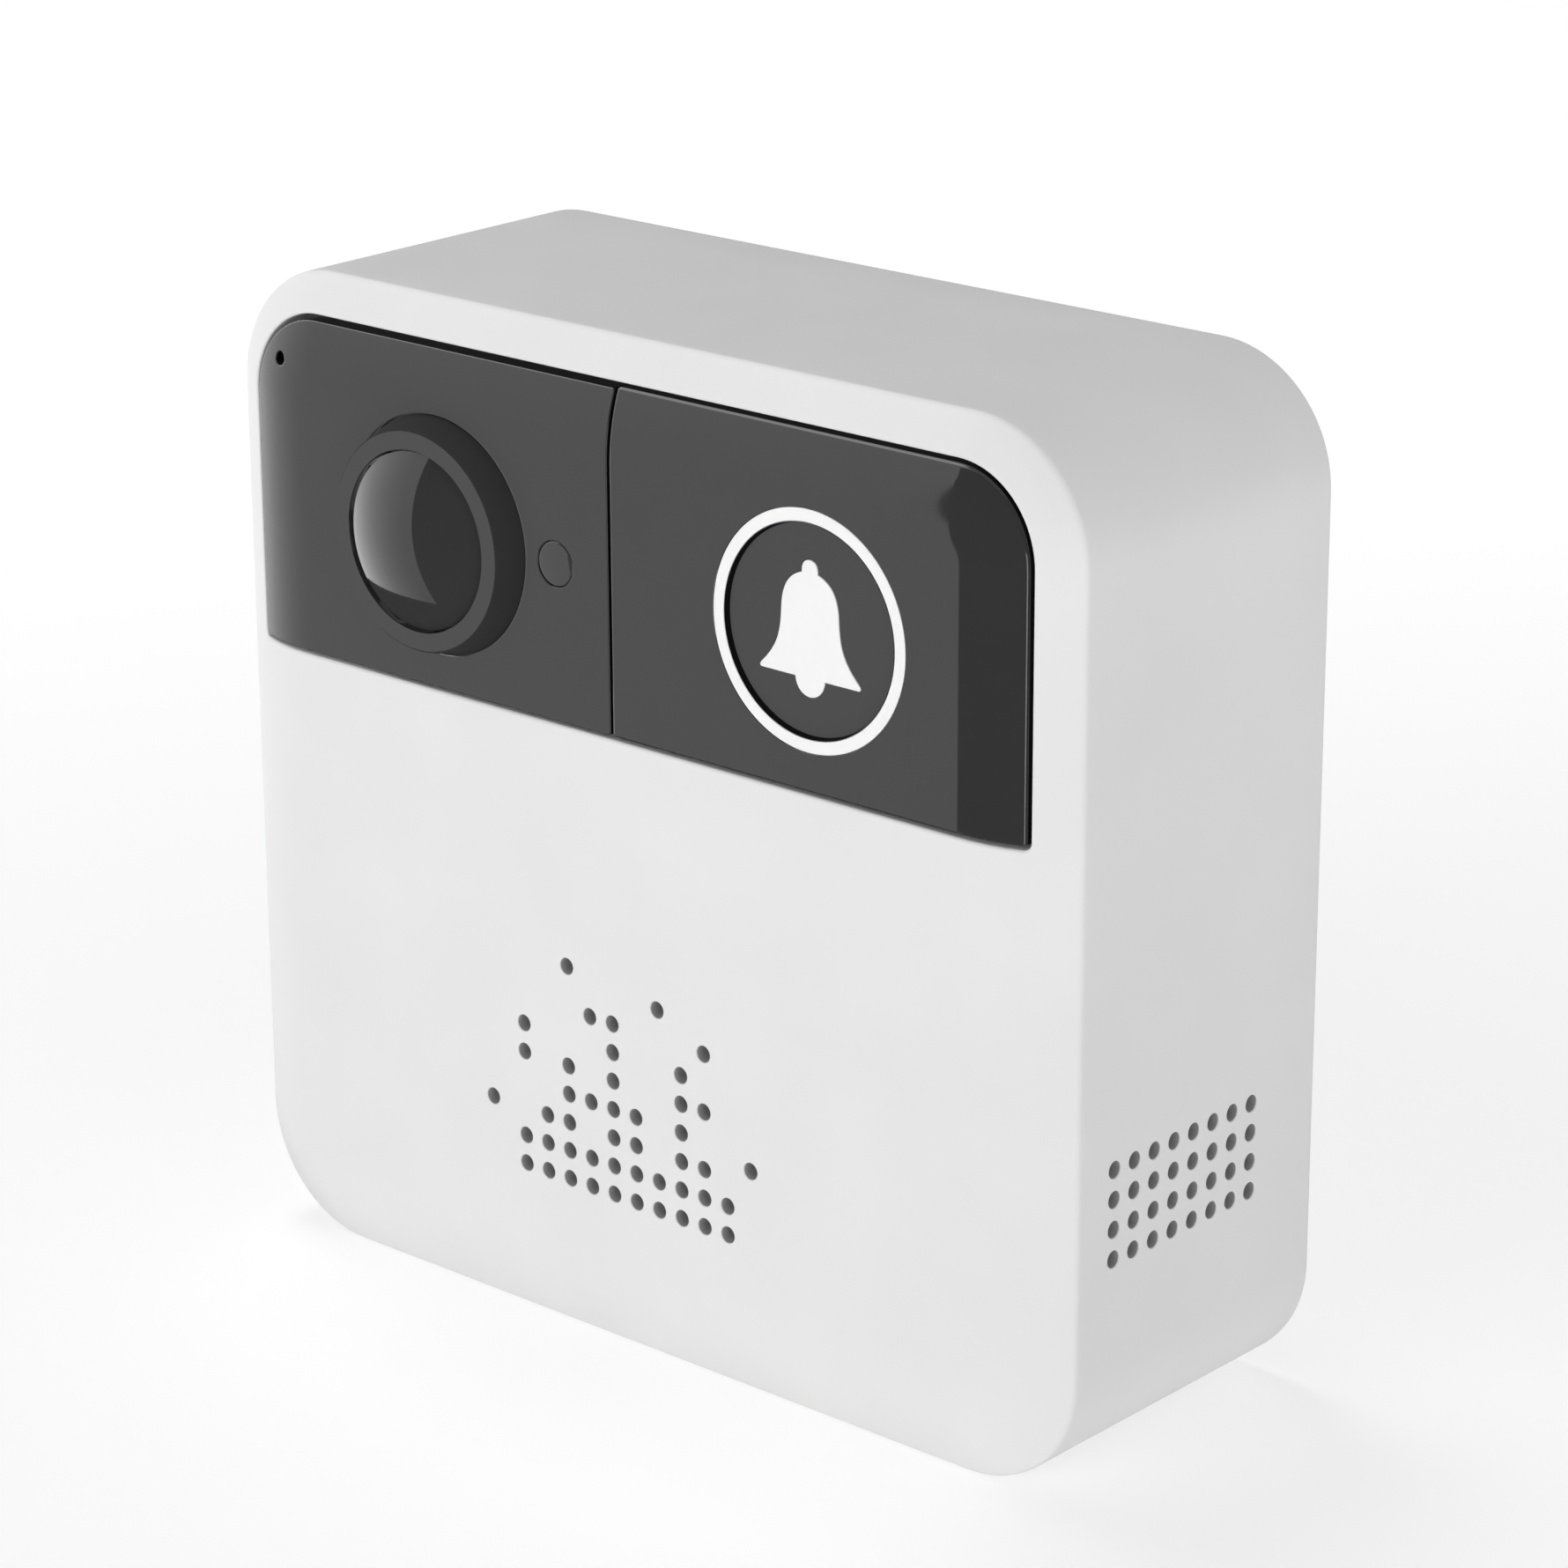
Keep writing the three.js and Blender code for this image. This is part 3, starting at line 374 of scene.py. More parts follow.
def soften(profile, radius):
    """A closed ring of (r, y) with its corners rounded; corners on the axis stay."""
    result = []
    for i, here in enumerate(profile):
        before, after = np.array(profile[i - 1], float), np.array(profile[(i + 1) % len(profile)], float)
        corner = np.array(here, float)
        if here[0] < 1e-6:
            result.append(tuple(corner))
            continue
        to_before, to_after = before - corner, after - corner
        reach = min(radius, 0.45 * np.linalg.norm(to_before), 0.45 * np.linalg.norm(to_after))
        start = corner + to_before / np.linalg.norm(to_before) * reach
        end = corner + to_after / np.linalg.norm(to_after) * reach
        result += [tuple(start)] + bezier((start, corner, end), 4)
    return result


def edge_rings(outline, side, surface, back, radius, steps=4):
    """Rings of a rounded edge, from the face to the wall.

    outline gives the ring at a growth, side is -1 where the material lies inside the outline and 1
    where it lies outside it, and back is 1 where the edge turns towards +Y and -1 towards -Y.
    """
    rings = []
    for i in range(steps + 1):
        angle = math.pi / 2 * i / steps
        inward, drop = radius * (1 - math.sin(angle)), radius * (1 - math.cos(angle))
        loop = outline(side * inward)
        rings.append([(x, surface(x, z) + back * drop, z) for x, z in loop])
    return rings


def plate(skin, outline, front, back, radius):
    """A closed plate between two surfaces, with rounded edges; outline gives its ring at a growth."""
    margin = radius + EDGE_MARGIN
    for surface in (front, back):
        skin.patch([outline(-margin)], raised(surface))
    rings = [lifted(outline(-margin), front)] + edge_rings(outline, -1, front, 1, radius)
    rings += reversed(edge_rings(outline, -1, back, -1, radius))
    skin.strip(rings + [lifted(outline(-margin), back)])


def hole(x, z, radius, steps=HOLE_STEPS):
    """A round outline that can grow."""
    return lambda grow: circle(x, z, radius + grow, steps)


# ---------------------------------------------------------------- materials
class Recipe:
    """A Principled material and the patterns that drive it."""

    def __init__(self, name, colour, roughness, metallic=0.0, ior=1.5):
        self.material = bpy.data.materials.new(name)
        self.material.use_nodes = True
        self.tree = self.material.node_tree
        self.shader = self.tree.nodes["Principled BSDF"]
        self.shader.inputs["Base Color"].default_value = (*colour, 1)
        self.shader.inputs["Roughness"].default_value = roughness
        self.shader.inputs["Metallic"].default_value = metallic
        self.shader.inputs["IOR"].default_value = ior
        self.material.diffuse_color = (*colour, 1)
        self.place = self.node("ShaderNodeTexCoord").outputs["Object"]
        self.normal = None

    def node(self, kind, **settings):
        made = self.tree.nodes.new(kind)
        for key, value in settings.items():
            if key in made.inputs:
                made.inputs[key].default_value = value
            else:
                setattr(made, key, value)
        return made

    def link(self, source, target):
        self.tree.links.new(source, target)

    def stretched(self, scale):
        """Object coordinates scaled differently along each axis."""
        mapping = self.node("ShaderNodeMapping")
        mapping.inputs["Scale"].default_value = scale
        self.link(self.place, mapping.inputs["Vector"])
        return mapping.outputs["Vector"]

    def noise(self, size, detail=3.0, rough=0.5, place=None):
        """Noise whose features are about size millimetres across."""
        made = self.node("ShaderNodeTexNoise", Scale=1 / (size * MM), Detail=detail, Roughness=rough)
        self.link(place or self.place, made.inputs["Vector"])
        return made.outputs["Fac"]

    def cells(self, size, feature="F1"):
        """Distances in a pattern of cells about size millimetres across."""
        made = self.node("ShaderNodeTexVoronoi", Scale=1 / (size * MM), feature=feature)
        self.link(self.place, made.inputs["Vector"])
        return made.outputs["Distance"]

    def weave(self, size, direction):
        """Soft stripes size millimetres apart, across an axis."""
        made = self.node("ShaderNodeTexWave", Scale=math.pi / (10 * size * MM), bands_direction=direction)
        self.link(self.place, made.inputs["Vector"])
        return made.outputs["Fac"]

    def ramp(self, factor, stops):
        """A colour ramp; stops are (position, colour)."""
        made = self.node("ShaderNodeValToRGB")
        elements = made.color_ramp.elements
        while len(elements) < len(stops):
            elements.new(0.5)
        for element, (position, colour) in zip(elements, stops):
            element.position = position
            element.color = (*colour, 1)
        self.link(factor, made.inputs["Fac"])
        return made.outputs["Color"]

    def between(self, factor, low, high):
        """A factor from 0 to 1 stretched between two numbers."""
        made = self.node("ShaderNodeMapRange")
        made.inputs["To Min"].default_value = low
        made.inputs["To Max"].default_value = high
        self.link(factor, made.inputs["Value"])
        return made.outputs["Result"]

    def product(self, one, two):
        made = self.node("ShaderNodeMath", operation="MULTIPLY")
        self.link(one, made.inputs[0])
        self.link(two, made.inputs[1])
        return made.outputs["Value"]

    def colour_by(self, factor, low, high):
        self.link(self.ramp(factor, ((0.25, low), (0.75, high))), self.shader.inputs["Base Color"])

    def rough_by(self, factor, low, high):
        self.link(self.between(factor, low, high), self.shader.inputs["Roughness"])

    def raise_by(self, factor, height, strength=1.0):
        """Adds relief of a height in millimetres."""
        made = self.node("ShaderNodeBump", Strength=strength, Distance=height * MM)
        self.link(factor, made.inputs["Height"])
        if self.normal is not None:
            self.link(self.normal, made.inputs["Normal"])
        self.normal = made.outputs["Normal"]
        self.link(self.normal, self.shader.inputs["Normal"])


def shade(colour, factor):
    """A colour made lighter or darker."""
    return tuple(min(1.0, channel * factor) for channel in colour)


def moulded(name, colour, roughness, spread=0.02):
    """Moulded plastic: a fine spark-eroded grain, faint flow marks and uneven gloss."""
    grain, relief = 0.22, 0.004
    recipe = Recipe(name, colour, roughness, ior=1.46)
    recipe.colour_by(recipe.noise(14, 2), shade(colour, 1 - spread), shade(colour, 1 + spread))
    recipe.rough_by(recipe.noise(3.5, 3), roughness - 0.04, roughness + 0.04)
    recipe.raise_by(recipe.cells(grain), relief, 0.5)
    recipe.raise_by(recipe.noise(grain / 2, 2), relief / 2, 0.5)
    return recipe.material


def acrylic(name, colour, roughness, ior=1.5):
    """Polished dark acrylic: a faint haze of wiping marks and fine dust."""
    recipe = Recipe(name, colour, roughness, ior=ior)
    haze = recipe.noise(9, 4, 0.6)
    recipe.rough_by(haze, roughness - 0.01, roughness + 0.015)
    recipe.colour_by(haze, shade(colour, 0.95), shade(colour, 1.05))
    recipe.raise_by(recipe.noise(2.5, 1), 0.0006, 0.3)
    return recipe.material


def unpolished(name, colour):
    """Moulded edge left matt: hardly any gloss, and a fine grain."""
    material = moulded(name, colour, 0.8, spread=0.1)
    material.node_tree.nodes["Principled BSDF"].inputs["Specular IOR Level"].default_value = 0.05
    return material


def milky(name):
    """Translucent white light guide: it scatters light a little below its satin skin."""
    colour = (0.93, 0.93, 0.925)
    recipe = Recipe(name, colour, 0.35)
    recipe.shader.inputs["Subsurface Weight"].default_value = 0.15
    recipe.shader.inputs["Subsurface Radius"].default_value = (0.4, 0.4, 0.4)
    recipe.shader.inputs["Subsurface Scale"].default_value = 0.0008
    recipe.colour_by(recipe.noise(1.2, 3), shade(colour, 0.985), colour)
    recipe.rough_by(recipe.noise(0.8, 2), 0.3, 0.4)
    recipe.raise_by(recipe.noise(0.15, 2), 0.002, 0.4)
    return recipe.material


def rubber(name):
    """Matt silicone rubber with a dusty bloom."""
    colour = (0.022, 0.022, 0.023)
    recipe = Recipe(name, colour, 0.85, ior=1.4)
    recipe.colour_by(recipe.noise(0.9, 4), shade(colour, 0.8), shade(colour, 1.5))
    recipe.rough_by(recipe.noise(0.5, 3), 0.78, 0.92)
    recipe.raise_by(recipe.noise(0.12, 3), 0.01, 0.6)
    return recipe.material


def metal(name, colour, roughness, along=(1, 1, 1)):
    """Steel with fine lines, drawn out along one axis where along says so, and dull patches."""
    recipe = Recipe(name, colour, roughness, metallic=1.0)
    lines = recipe.noise(0.25, 4, 0.6, recipe.stretched(along))
    recipe.rough_by(lines, roughness - 0.08, roughness + 0.12)
    recipe.colour_by(recipe.noise(2.5, 3), shade(colour, 0.86), shade(colour, 1.08))
    recipe.raise_by(lines, 0.003, 0.35)
    return recipe.material


def circuit_board(name):
    """Green solder mask over copper tracks."""
    recipe = Recipe(name, (0.02, 0.12, 0.05), 0.35)
    tracks = recipe.product(recipe.weave(1.1, "X"), recipe.weave(1.6, "Z"))
    patches = recipe.cells(4.0, "DISTANCE_TO_EDGE")
    pattern = recipe.product(tracks, recipe.between(patches, 0.2, 1.6))
    greens = ((0.0, (0.012, 0.075, 0.032)), (0.3, (0.02, 0.12, 0.05)), (0.6, (0.035, 0.19, 0.08)))
    recipe.link(recipe.ramp(pattern, greens), recipe.shader.inputs["Base Color"])
    recipe.rough_by(recipe.noise(1.5, 3), 0.28, 0.42)
    recipe.raise_by(pattern, 0.03, 0.5)
    return recipe.material


def chip(name):
    """Moulded chip package, matt with pale flecks."""
    recipe = Recipe(name, (0.025, 0.025, 0.027), 0.6)
    recipe.colour_by(recipe.noise(0.2, 4, 0.7), (0.018, 0.018, 0.02), (0.04, 0.04, 0.043))
    recipe.rough_by(recipe.noise(0.7, 2), 0.5, 0.68)
    recipe.raise_by(recipe.noise(0.1, 2), 0.004, 0.5)
    return recipe.material


def sleeve(name):
    """Heat-shrink sleeve of a battery cell, with shrink wrinkles."""
    colour = (0.04, 0.19, 0.42)
    recipe = Recipe(name, colour, 0.32)
    recipe.colour_by(recipe.noise(12, 2), shade(colour, 0.96), shade(colour, 1.04))
    recipe.rough_by(recipe.noise(2, 3), 0.2, 0.3)
    recipe.raise_by(recipe.noise(1.4, 2, 0.5, recipe.stretched((0.2, 1, 1))), 0.008, 0.4)
    return recipe.material


def ribbon(name):
    """Flexible copper ribbon with its conductors showing."""
    recipe = Recipe(name, (0.4, 0.16, 0.04), 0.4)
    lines = recipe.weave(0.8, "X")
    recipe.colour_by(lines, (0.3, 0.11, 0.025), (0.5, 0.22, 0.06))
    recipe.rough_by(recipe.noise(1.5, 2), 0.32, 0.48)
    recipe.raise_by(lines, 0.02, 0.6)
    return recipe.material


def paper(name):
    """Pressed paper of a loudspeaker cone."""
    recipe = Recipe(name, (0.035, 0.033, 0.03), 0.9)
    fibres = recipe.noise(0.35, 6, 0.75)
    recipe.colour_by(fibres, (0.022, 0.021, 0.019), (0.06, 0.056, 0.05))
    recipe.rough_by(fibres, 0.82, 0.96)
    recipe.raise_by(fibres, 0.04, 0.7)
    return recipe.material


def emitter(name):
    """Small light-emitting diode under clear resin."""
    recipe = Recipe(name, (0.8, 0.76, 0.5), 0.2)
    recipe.colour_by(recipe.noise(0.5, 2), (0.72, 0.66, 0.36), (0.86, 0.84, 0.66))
    recipe.rough_by(recipe.noise(0.4, 2), 0.15, 0.3)
    recipe.raise_by(recipe.noise(0.3, 2), 0.01, 0.4)
    return recipe.material


def cloth(name):
    """Fine woven acoustic mesh behind the sound holes."""
    recipe = Recipe(name, (0.03, 0.03, 0.031), 0.8)
    across, along = recipe.weave(0.18, "DIAGONAL"), recipe.weave(0.18, "Z")
    threads = recipe.product(across, along)
    recipe.colour_by(threads, (0.012, 0.012, 0.013), (0.06, 0.06, 0.062))
    recipe.rough_by(threads, 0.7, 0.9)
    recipe.raise_by(threads, 0.05, 0.8)
    return recipe.material


WHITE = moulded("White moulded plastic", (0.80, 0.80, 0.798), 0.5)
# Painted shade: the sound holes' bores take a grey copy of the white plastic, darker than the housing, to
# stand for the shade inside them.
HOLE_PAINTED_SHADE = moulded("Sound hole walls in painted shade", (0.4, 0.4, 0.4), 0.8)
WINDOW_GLOSS = acrylic("Dark window acrylic", (0.033, 0.0331, 0.0335), 0.035)
# Painted shade: the plates' hidden walls and the dish's slope are near black, far darker than the acrylic,
# so that the gaps and the dish's wall read as shadow.
EDGE_PAINTED_SHADE = unpolished("Unpolished acrylic edge in painted shade", (0.006, 0.006, 0.0062))
BEZEL_SIDE = unpolished("Satin bezel side", (0.036, 0.036, 0.0365))
SENSOR_GLOSS = acrylic("Light sensor window", (0.04, 0.04, 0.0405), 0.035)
LENS_GLOSS = acrylic("Smoked dome", (0.034, 0.0335, 0.0335), 0.04)
GLASS_DARK = acrylic("Coated lens glass", (0.01, 0.012, 0.016), 0.04, ior=1.7)
MILKY = milky("Milky light guide")
BLACK = moulded("Black moulded plastic", (0.028, 0.028, 0.029), 0.55, spread=0.1)
GREY = moulded("Grey moulded plastic", (0.26, 0.265, 0.275), 0.55, spread=0.04)
RUBBER = rubber("Silicone rubber")
BOARD = circuit_board("Solder mask")
CHIP = chip("Chip package")
STEEL = metal("Nickel-plated steel", (0.62, 0.61, 0.59), 0.3, along=(1, 1, 0.15))
TURNED_STEEL = metal("Turned steel", (0.6, 0.6, 0.6), 0.28)
SLEEVE = sleeve("Cell sleeve")
EMITTER = emitter("Diode resin")
RIBBON = ribbon("Copper ribbon")
PAPER = paper("Cone paper")
CLOTH = cloth("Acoustic cloth")

SLOT_MATERIALS = {
    "white_plastic": WHITE,
    "dark_window": WINDOW_GLOSS,
    "dark_lens": GLASS_DARK,
    "black_plastic": BLACK,
    "milky_plastic": MILKY,
    "grey_plastic": GREY,
    "rubber": RUBBER,
    "circuit_board": BOARD,
    "chip": CHIP,
    "steel": STEEL,
    "battery_cell": SLEEVE,
    "emitter": EMITTER,
    "ribbon": RIBBON,
    "paper_cone": PAPER,
}

SLOTS = {subpart["node"]: subpart["material_slot"] for subpart in frame["record"]["subparts"]}
for node, slot in SLOTS.items():
    mesh = frame["nodes"][node].data
    mesh.materials.clear()
    mesh.materials.append(SLOT_MATERIALS[slot])
for node in ("grille_mesh", "side_grille_mesh"):
    frame["nodes"][node].data.materials[0] = CLOTH


# ---------------------------------------------------------------- front housing
def window_loop(grow):
    return rounded_loop(WINDOW, WINDOW_RADII, grow, FINE_PITCH)


def front_holes():
    """Centres (x, z) of the sound holes in the front."""
    x0, z0 = FRONT_GRILLE
    places = [(column, row) for column, rows in FRONT_GRILLE_COLUMNS for row in rows]
    return [(x0 + HOLE_PITCH * column, z0 + HOLE_PITCH * row) for column, row in places]


def side_holes():
    """Centres (y, z) of the sound holes in the side wall."""
    y0, z0 = SIDE_GRILLE
    places = [(column, row) for column in range(SIDE_COLUMNS) for row in range(SIDE_ROWS)]
    return [(y0 + HOLE_PITCH * column, z0 + HOLE_PITCH * row) for column, row in places]


def right_side():
    """Steps of a case ring that lie along the straight right-hand side."""
    length = HEIGHT - 2 * CORNER_RADIUS
    return range(CORNER_STEPS, CORNER_STEPS + round(length / SIDE_PITCH))


def front_edge_rings():
    """Rings of the rounded edge between the rolled front and the side wall."""
    start = (EDGE_ROUND, ROLL_DEPTH * (1 - EDGE_ROUND / ROLL_WIDTH) ** ROLL_POWER)
    curve = [start] + bezier((start, (0, ROLL_DEPTH), (0, ROLL_DEPTH + EDGE_ROUND)), 6)
    return [lifted(case_loop(inset), flat(y)) for inset, y in curve]


def side_band(skin, inset, radius):
    """One face of the right wall's stretch that holds the grille: a flat patch with the holes in it."""
    ring = case_loop(inset)
    steps = right_side()
    heights = [ring[i][1] for i in range(steps.start, steps.stop + 1)]
    border = [(SIDE_PATCH[0], z) for z in heights] + [(SIDE_PATCH[1], z) for z in reversed(heights)]
    loops = [border] + [circle(y, z, radius) for y, z in side_holes()]
    skin.patch(loops, lambda y, z: (WIDTH / 2 - inset, y, z))


def quarter(radius):
    """(inset, drop) along a rounded outer edge, from the wall to the face."""
    angles = [math.pi / 2 * i / 4 for i in range(5)]
    return [(radius * (1 - math.cos(a)), radius * (1 - math.sin(a))) for a in angles]


def front_face(skin):
    """The rolled front, the edge of its window, and its inner face."""
    margin = WINDOW_ROUND + EDGE_MARGIN
    loops = [case_loop(EDGE_ROUND), window_loop(margin)]
    loops += [circle(x, z, HOLE_RIM) for x, z in front_holes()]
    skin.patch(loops, raised(roll), scattered(loops, roll_points(), clearance=0.28))

    inner_face = behind(roll, WALL)
    lip = edge_rings(window_loop, 1, roll, 1, WINDOW_ROUND)
    skin.strip([lifted(window_loop(margin), roll)] + lip + [lifted(window_loop(0), inner_face)])
    inner_loops = [case_loop(WALL), window_loop(0)] + [circle(x, z, HOLE_RADIUS) for x, z in front_holes()]
    skin.patch(inner_loops, raised(inner_face), scattered(inner_loops, roll_points(), clearance=0.5))


def front_sound_holes(skin):
    for x, z in front_holes():
        edge = edge_rings(hole(x, z, HOLE_RADIUS), 1, flat(0), 1, HOLE_ROUND, 3)
        skin.strip([lifted(circle(x, z, HOLE_RIM), flat(0))] + edge)
        # the bore's wall takes the second slot, the grey painted shade
        skin.strip([edge[-1], lifted(circle(x, z, HOLE_RADIUS), flat(WALL))], slot=1)


def side_walls(skin):
    """The walls behind the rolled front, outside and inside, with their rounded rear rim."""
    y0, y1 = SIDE_PATCH
    outer = [(0, ROLL_DEPTH + EDGE_ROUND), (0, y0), (0, y1), (0, DEPTH - RIM_ROUND)]
    rear = [(inset, DEPTH - drop) for inset, drop in quarter(RIM_ROUND)]
    inner = [(WALL - inset, DEPTH - drop) for inset, drop in reversed(quarter(RIM_ROUND / 2))]
    inner_start = behind(roll, WALL)(WIDTH / 2 - WALL, HEIGHT / 2)
    profile = outer + rear + inner + [(WALL, y1), (WALL, y0), (WALL, inner_start)]
    for one, two in zip(profile, profile[1:]):
        rings = [lifted(case_loop(inset), flat(y)) for inset, y in (one, two)]
        in_patch = {one[1], two[1]} == {y0, y1}
        skin.strip(rings, skip=right_side() if in_patch else ())
    side_band(skin, 0, HOLE_RIM)
    side_band(skin, WALL, HOLE_RADIUS)


def side_sound_holes(skin):
    outside, inside_face = WIDTH / 2, WIDTH / 2 - WALL
    for y, z in side_holes():
        rings = edge_rings(hole(y, z, HOLE_RADIUS), 1, flat(0), 1, HOLE_ROUND, 3)
        rings = [[(outside - drop, py, pz) for py, drop, pz in ring] for ring in rings]
        first = [(outside, py, pz) for py, pz in circle(y, z, HOLE_RIM)]
        last = [(inside_face, py, pz) for py, pz in circle(y, z, HOLE_RADIUS)]
        skin.strip([first] + rings)
        # the bore's wall takes the second slot, the grey painted shade
        skin.strip([rings[-1], last], slot=1)


def collar(skin, sizes, place, sides=96):
    """A round wall that stands on the inside of the housing."""
    inner, outer, start, end = sizes
    profile = [(inner, start), (outer, start), (outer, end), (inner, end)]
    skin.lathe(soften(profile, 0.3), *place, sides)


def front_housing():
    skin = Skin()
    front_face(skin)
    front_sound_holes(skin)
    skin.strip(front_edge_rings())
    side_walls(skin)
    side_sound_holes(skin)
    for number in range(4):
        collar(skin, BOSS, centre(f"rear_screw_{number + 1}"), 40)
    collar(skin, SPEAKER_WALL, centre("grille_mesh"))
    skin.build("housing_shell", "case", [WHITE, HOLE_PAINTED_SHADE], ["front_housing"])


front_housing()


# ---------------------------------------------------------------- window plates
CAMERA_PLATE_ROUND = 0.08
BUTTON_PLATE_ROUND = 0.22
CAMERA_PLATE_SINK = 0.06
CAMERA_PLATE_DROP = 0.2  # extra gap above the camera plate
SEAT_DEPTH = 0.6
SEAT_BORE = 8.6
SENSOR_HOLE = 1.92
MIC_HOLE = 0.6


def plate_loop(side, grow):
    """Ring round one half of the window, clear of the housing and of the other half."""
    x0, x1, z0, z1 = WINDOW
    lower, upper = WINDOW_RADII[0] - PLATE_GAP, WINDOW_RADII[1] - PLATE_GAP
    seam = SEAM_WIDTH / 2
    if side == "left":
        box = (x0 + PLATE_GAP, SEAM_X - seam, z0 + PLATE_GAP, z1 - PLATE_GAP - CAMERA_PLATE_DROP)
        return rounded_loop(box, (lower, lower, upper, lower), grow, FINE_PITCH)
    box = (SEAM_X + seam, x1 - PLATE_GAP, z0 + PLATE_GAP, z1 - PLATE_GAP)
    return rounded_loop(box, (lower, upper, lower, lower), grow, FINE_PITCH)


def plate_outline(side):
    """The outline of one half of the window, which can grow."""
    return lambda grow: plate_loop(side, grow)


def plate_edge(skin, outline, side, front, back, radius):
    """The rounded edge of a plate: a polished front arris, and an unpolished wall behind it in the second
    slot, which both plates fill with near-black painted shade for the gap.
    """
    margin = radius + EDGE_MARGIN
    polished = [lifted(outline(side * margin), front)]
    polished += edge_rings(outline, side, front, 1, radius, 5)
    hidden = list(reversed(edge_rings(outline, side, back, -1, radius, 5)))
    hidden += [lifted(outline(side * margin), back)]
    skin.strip(polished)
    # the wall behind takes slot 1, the near-black painted gap shade
    skin.strip([polished[-1]] + hidden, 1)


def camera_plate():
    """The left half of the window, with a seat for the bezel and holes for sensor and microphone."""
    skin = Skin()
    front = behind(roll, CAMERA_PLATE_SINK)
    back = behind(roll, PLATE_THICKNESS)
    seat = BEZEL_RADIUS + 0.08
    margin = CAMERA_PLATE_ROUND + EDGE_MARGIN
    outer = plate_outline("left")
    round_holes = [hole(SENSOR_X, SENSOR_Z, SENSOR_HOLE, 48), hole(MIC_X, MIC_Z, MIC_HOLE, 32)]
    for surface, opening in ((front, seat + 0.2), (back, SEAT_BORE)):
        loops = [outer(-margin), circle(LENS_X, LENS_Z, opening, 96)] + [h(margin) for h in round_holes]
        skin.patch(loops, raised(surface), scattered(loops, roll_points(), clearance=0.25))
    for outline, side in [(outer, -1)] + [(h, 1) for h in round_holes]:
        plate_edge(skin, outline, side, front, back, CAMERA_PLATE_ROUND)
    level = CAMERA_PLATE_SINK
    steps = [(seat + 0.2, level), (seat + 0.1, level), (seat + 0.03, level + 0.02), (seat, level + 0.08)]
    steps += [(seat, SEAT_DEPTH), (SEAT_BORE, SEAT_DEPTH), (SEAT_BORE, PLATE_THICKNESS)]
    skin.sweep(steps, LENS_X, LENS_Z, 96)
    skin.build("camera_window", "case", [WINDOW_GLOSS, EDGE_PAINTED_SHADE], ["camera_panel"])


def button_plate():
    """The right half of the window, with a hole for the light ring."""
    skin = Skin()
    ring_hole = hole(BELL_X, BELL_Z, RING_OUTER + 0.04, 128)
    outer = plate_outline("right")
    back = behind(roll, PLATE_THICKNESS)
    margin = BUTTON_PLATE_ROUND + EDGE_MARGIN
    tiny = 0.03
    for surface in (roll, back):
        loops = [outer(-margin), ring_hole(tiny)]
        skin.patch(loops, raised(surface), scattered(loops, roll_points(), clearance=0.25))
    plate_edge(skin, outer, -1, roll, back, BUTTON_PLATE_ROUND)
    steps = [(tiny, 0), (0, tiny), (0, PLATE_THICKNESS - tiny), (tiny, PLATE_THICKNESS)]
    skin.strip([lifted(ring_hole(grow), flat(y)) for grow, y in steps])
    skin.build("button_window", "button", [WINDOW_GLOSS, EDGE_PAINTED_SHADE], ["bell_button"])


camera_plate()
button_plate()


# ---------------------------------------------------------------- bell button
def bell_loop(grow):
    """A hand bell: knob, dome, flared lip and clapper, symmetric about its middle line."""
    half = [(1.5, -3.9), (4.95, -3.9)]
    half += bezier(((4.95, -3.9), (5.3, -3.75), (4.8, -3.3)), 6)
    half += bezier(((4.8, -3.3), (3.1, -1.6), (3, -0.4), (2.9, 1.4)), 16)
    half += bezier(((2.9, 1.4), (2.8, 3.2), (2.1, 4.1), (0.8, 4.5)), 14)
    half += bezier(((0.8, 4.5), (0.85, 5.2), (0.5, 5.55), (0, 5.55)), 8)
    left = [(-x, z) for x, z in reversed(half[:-1])]
    clapper = bezier(((-1.5, -3.9), (-1.3, -5.9), (1.3, -5.9), (1.5, -3.9)), 16)[:-1]
    ring = half + left + clapper
    return offset_loop([(BELL_X + x + BELL_LEAN, BELL_Z + z) for x, z in ring], grow)


def button_dish():
    """The dished centre of the button, with the hole for the bell."""
    skin = Skin()
    rim = RING_INNER - 0.04
    flat_radius = rim - 0.18
    steps = [(rim, PLATE_THICKNESS), (rim, 0.05), (rim - 0.03, 0)]
    steps += [(rim - 0.06, 0.04), (flat_radius + 0.03, DISH_DEPTH - 0.06), (flat_radius, DISH_DEPTH)]
    skin.sweep(steps[:3], BELL_X, BELL_Z, 128)
    # Painted shade: the dish's sloped wall takes the near-black edge material, so that a dark crescent shows
    # inside the ring.
    skin.sweep(steps[2:], BELL_X, BELL_Z, 128, slot=1)
    level_radius = flat_radius - EDGE_MARGIN
    skin.sweep([(flat_radius, DISH_DEPTH), (level_radius, DISH_DEPTH)], BELL_X, BELL_Z, 128)
    skin.patch([circle(BELL_X, BELL_Z, level_radius, 128), bell_loop(0.12)], raised(flat(DISH_DEPTH)))
    rings = [(0.12, DISH_DEPTH), (0.06, DISH_DEPTH), (0.03, DISH_DEPTH + 0.03), (0.03, PLATE_THICKNESS)]
    skin.strip([lifted(bell_loop(grow), flat(y)) for grow, y in rings])
    skin.patch([circle(BELL_X, BELL_Z, rim, 128), bell_loop(0.03)], raised(flat(PLATE_THICKNESS)))
    skin.build("button_dish", "button", [WINDOW_GLOSS, EDGE_PAINTED_SHADE], ["button_centre"])


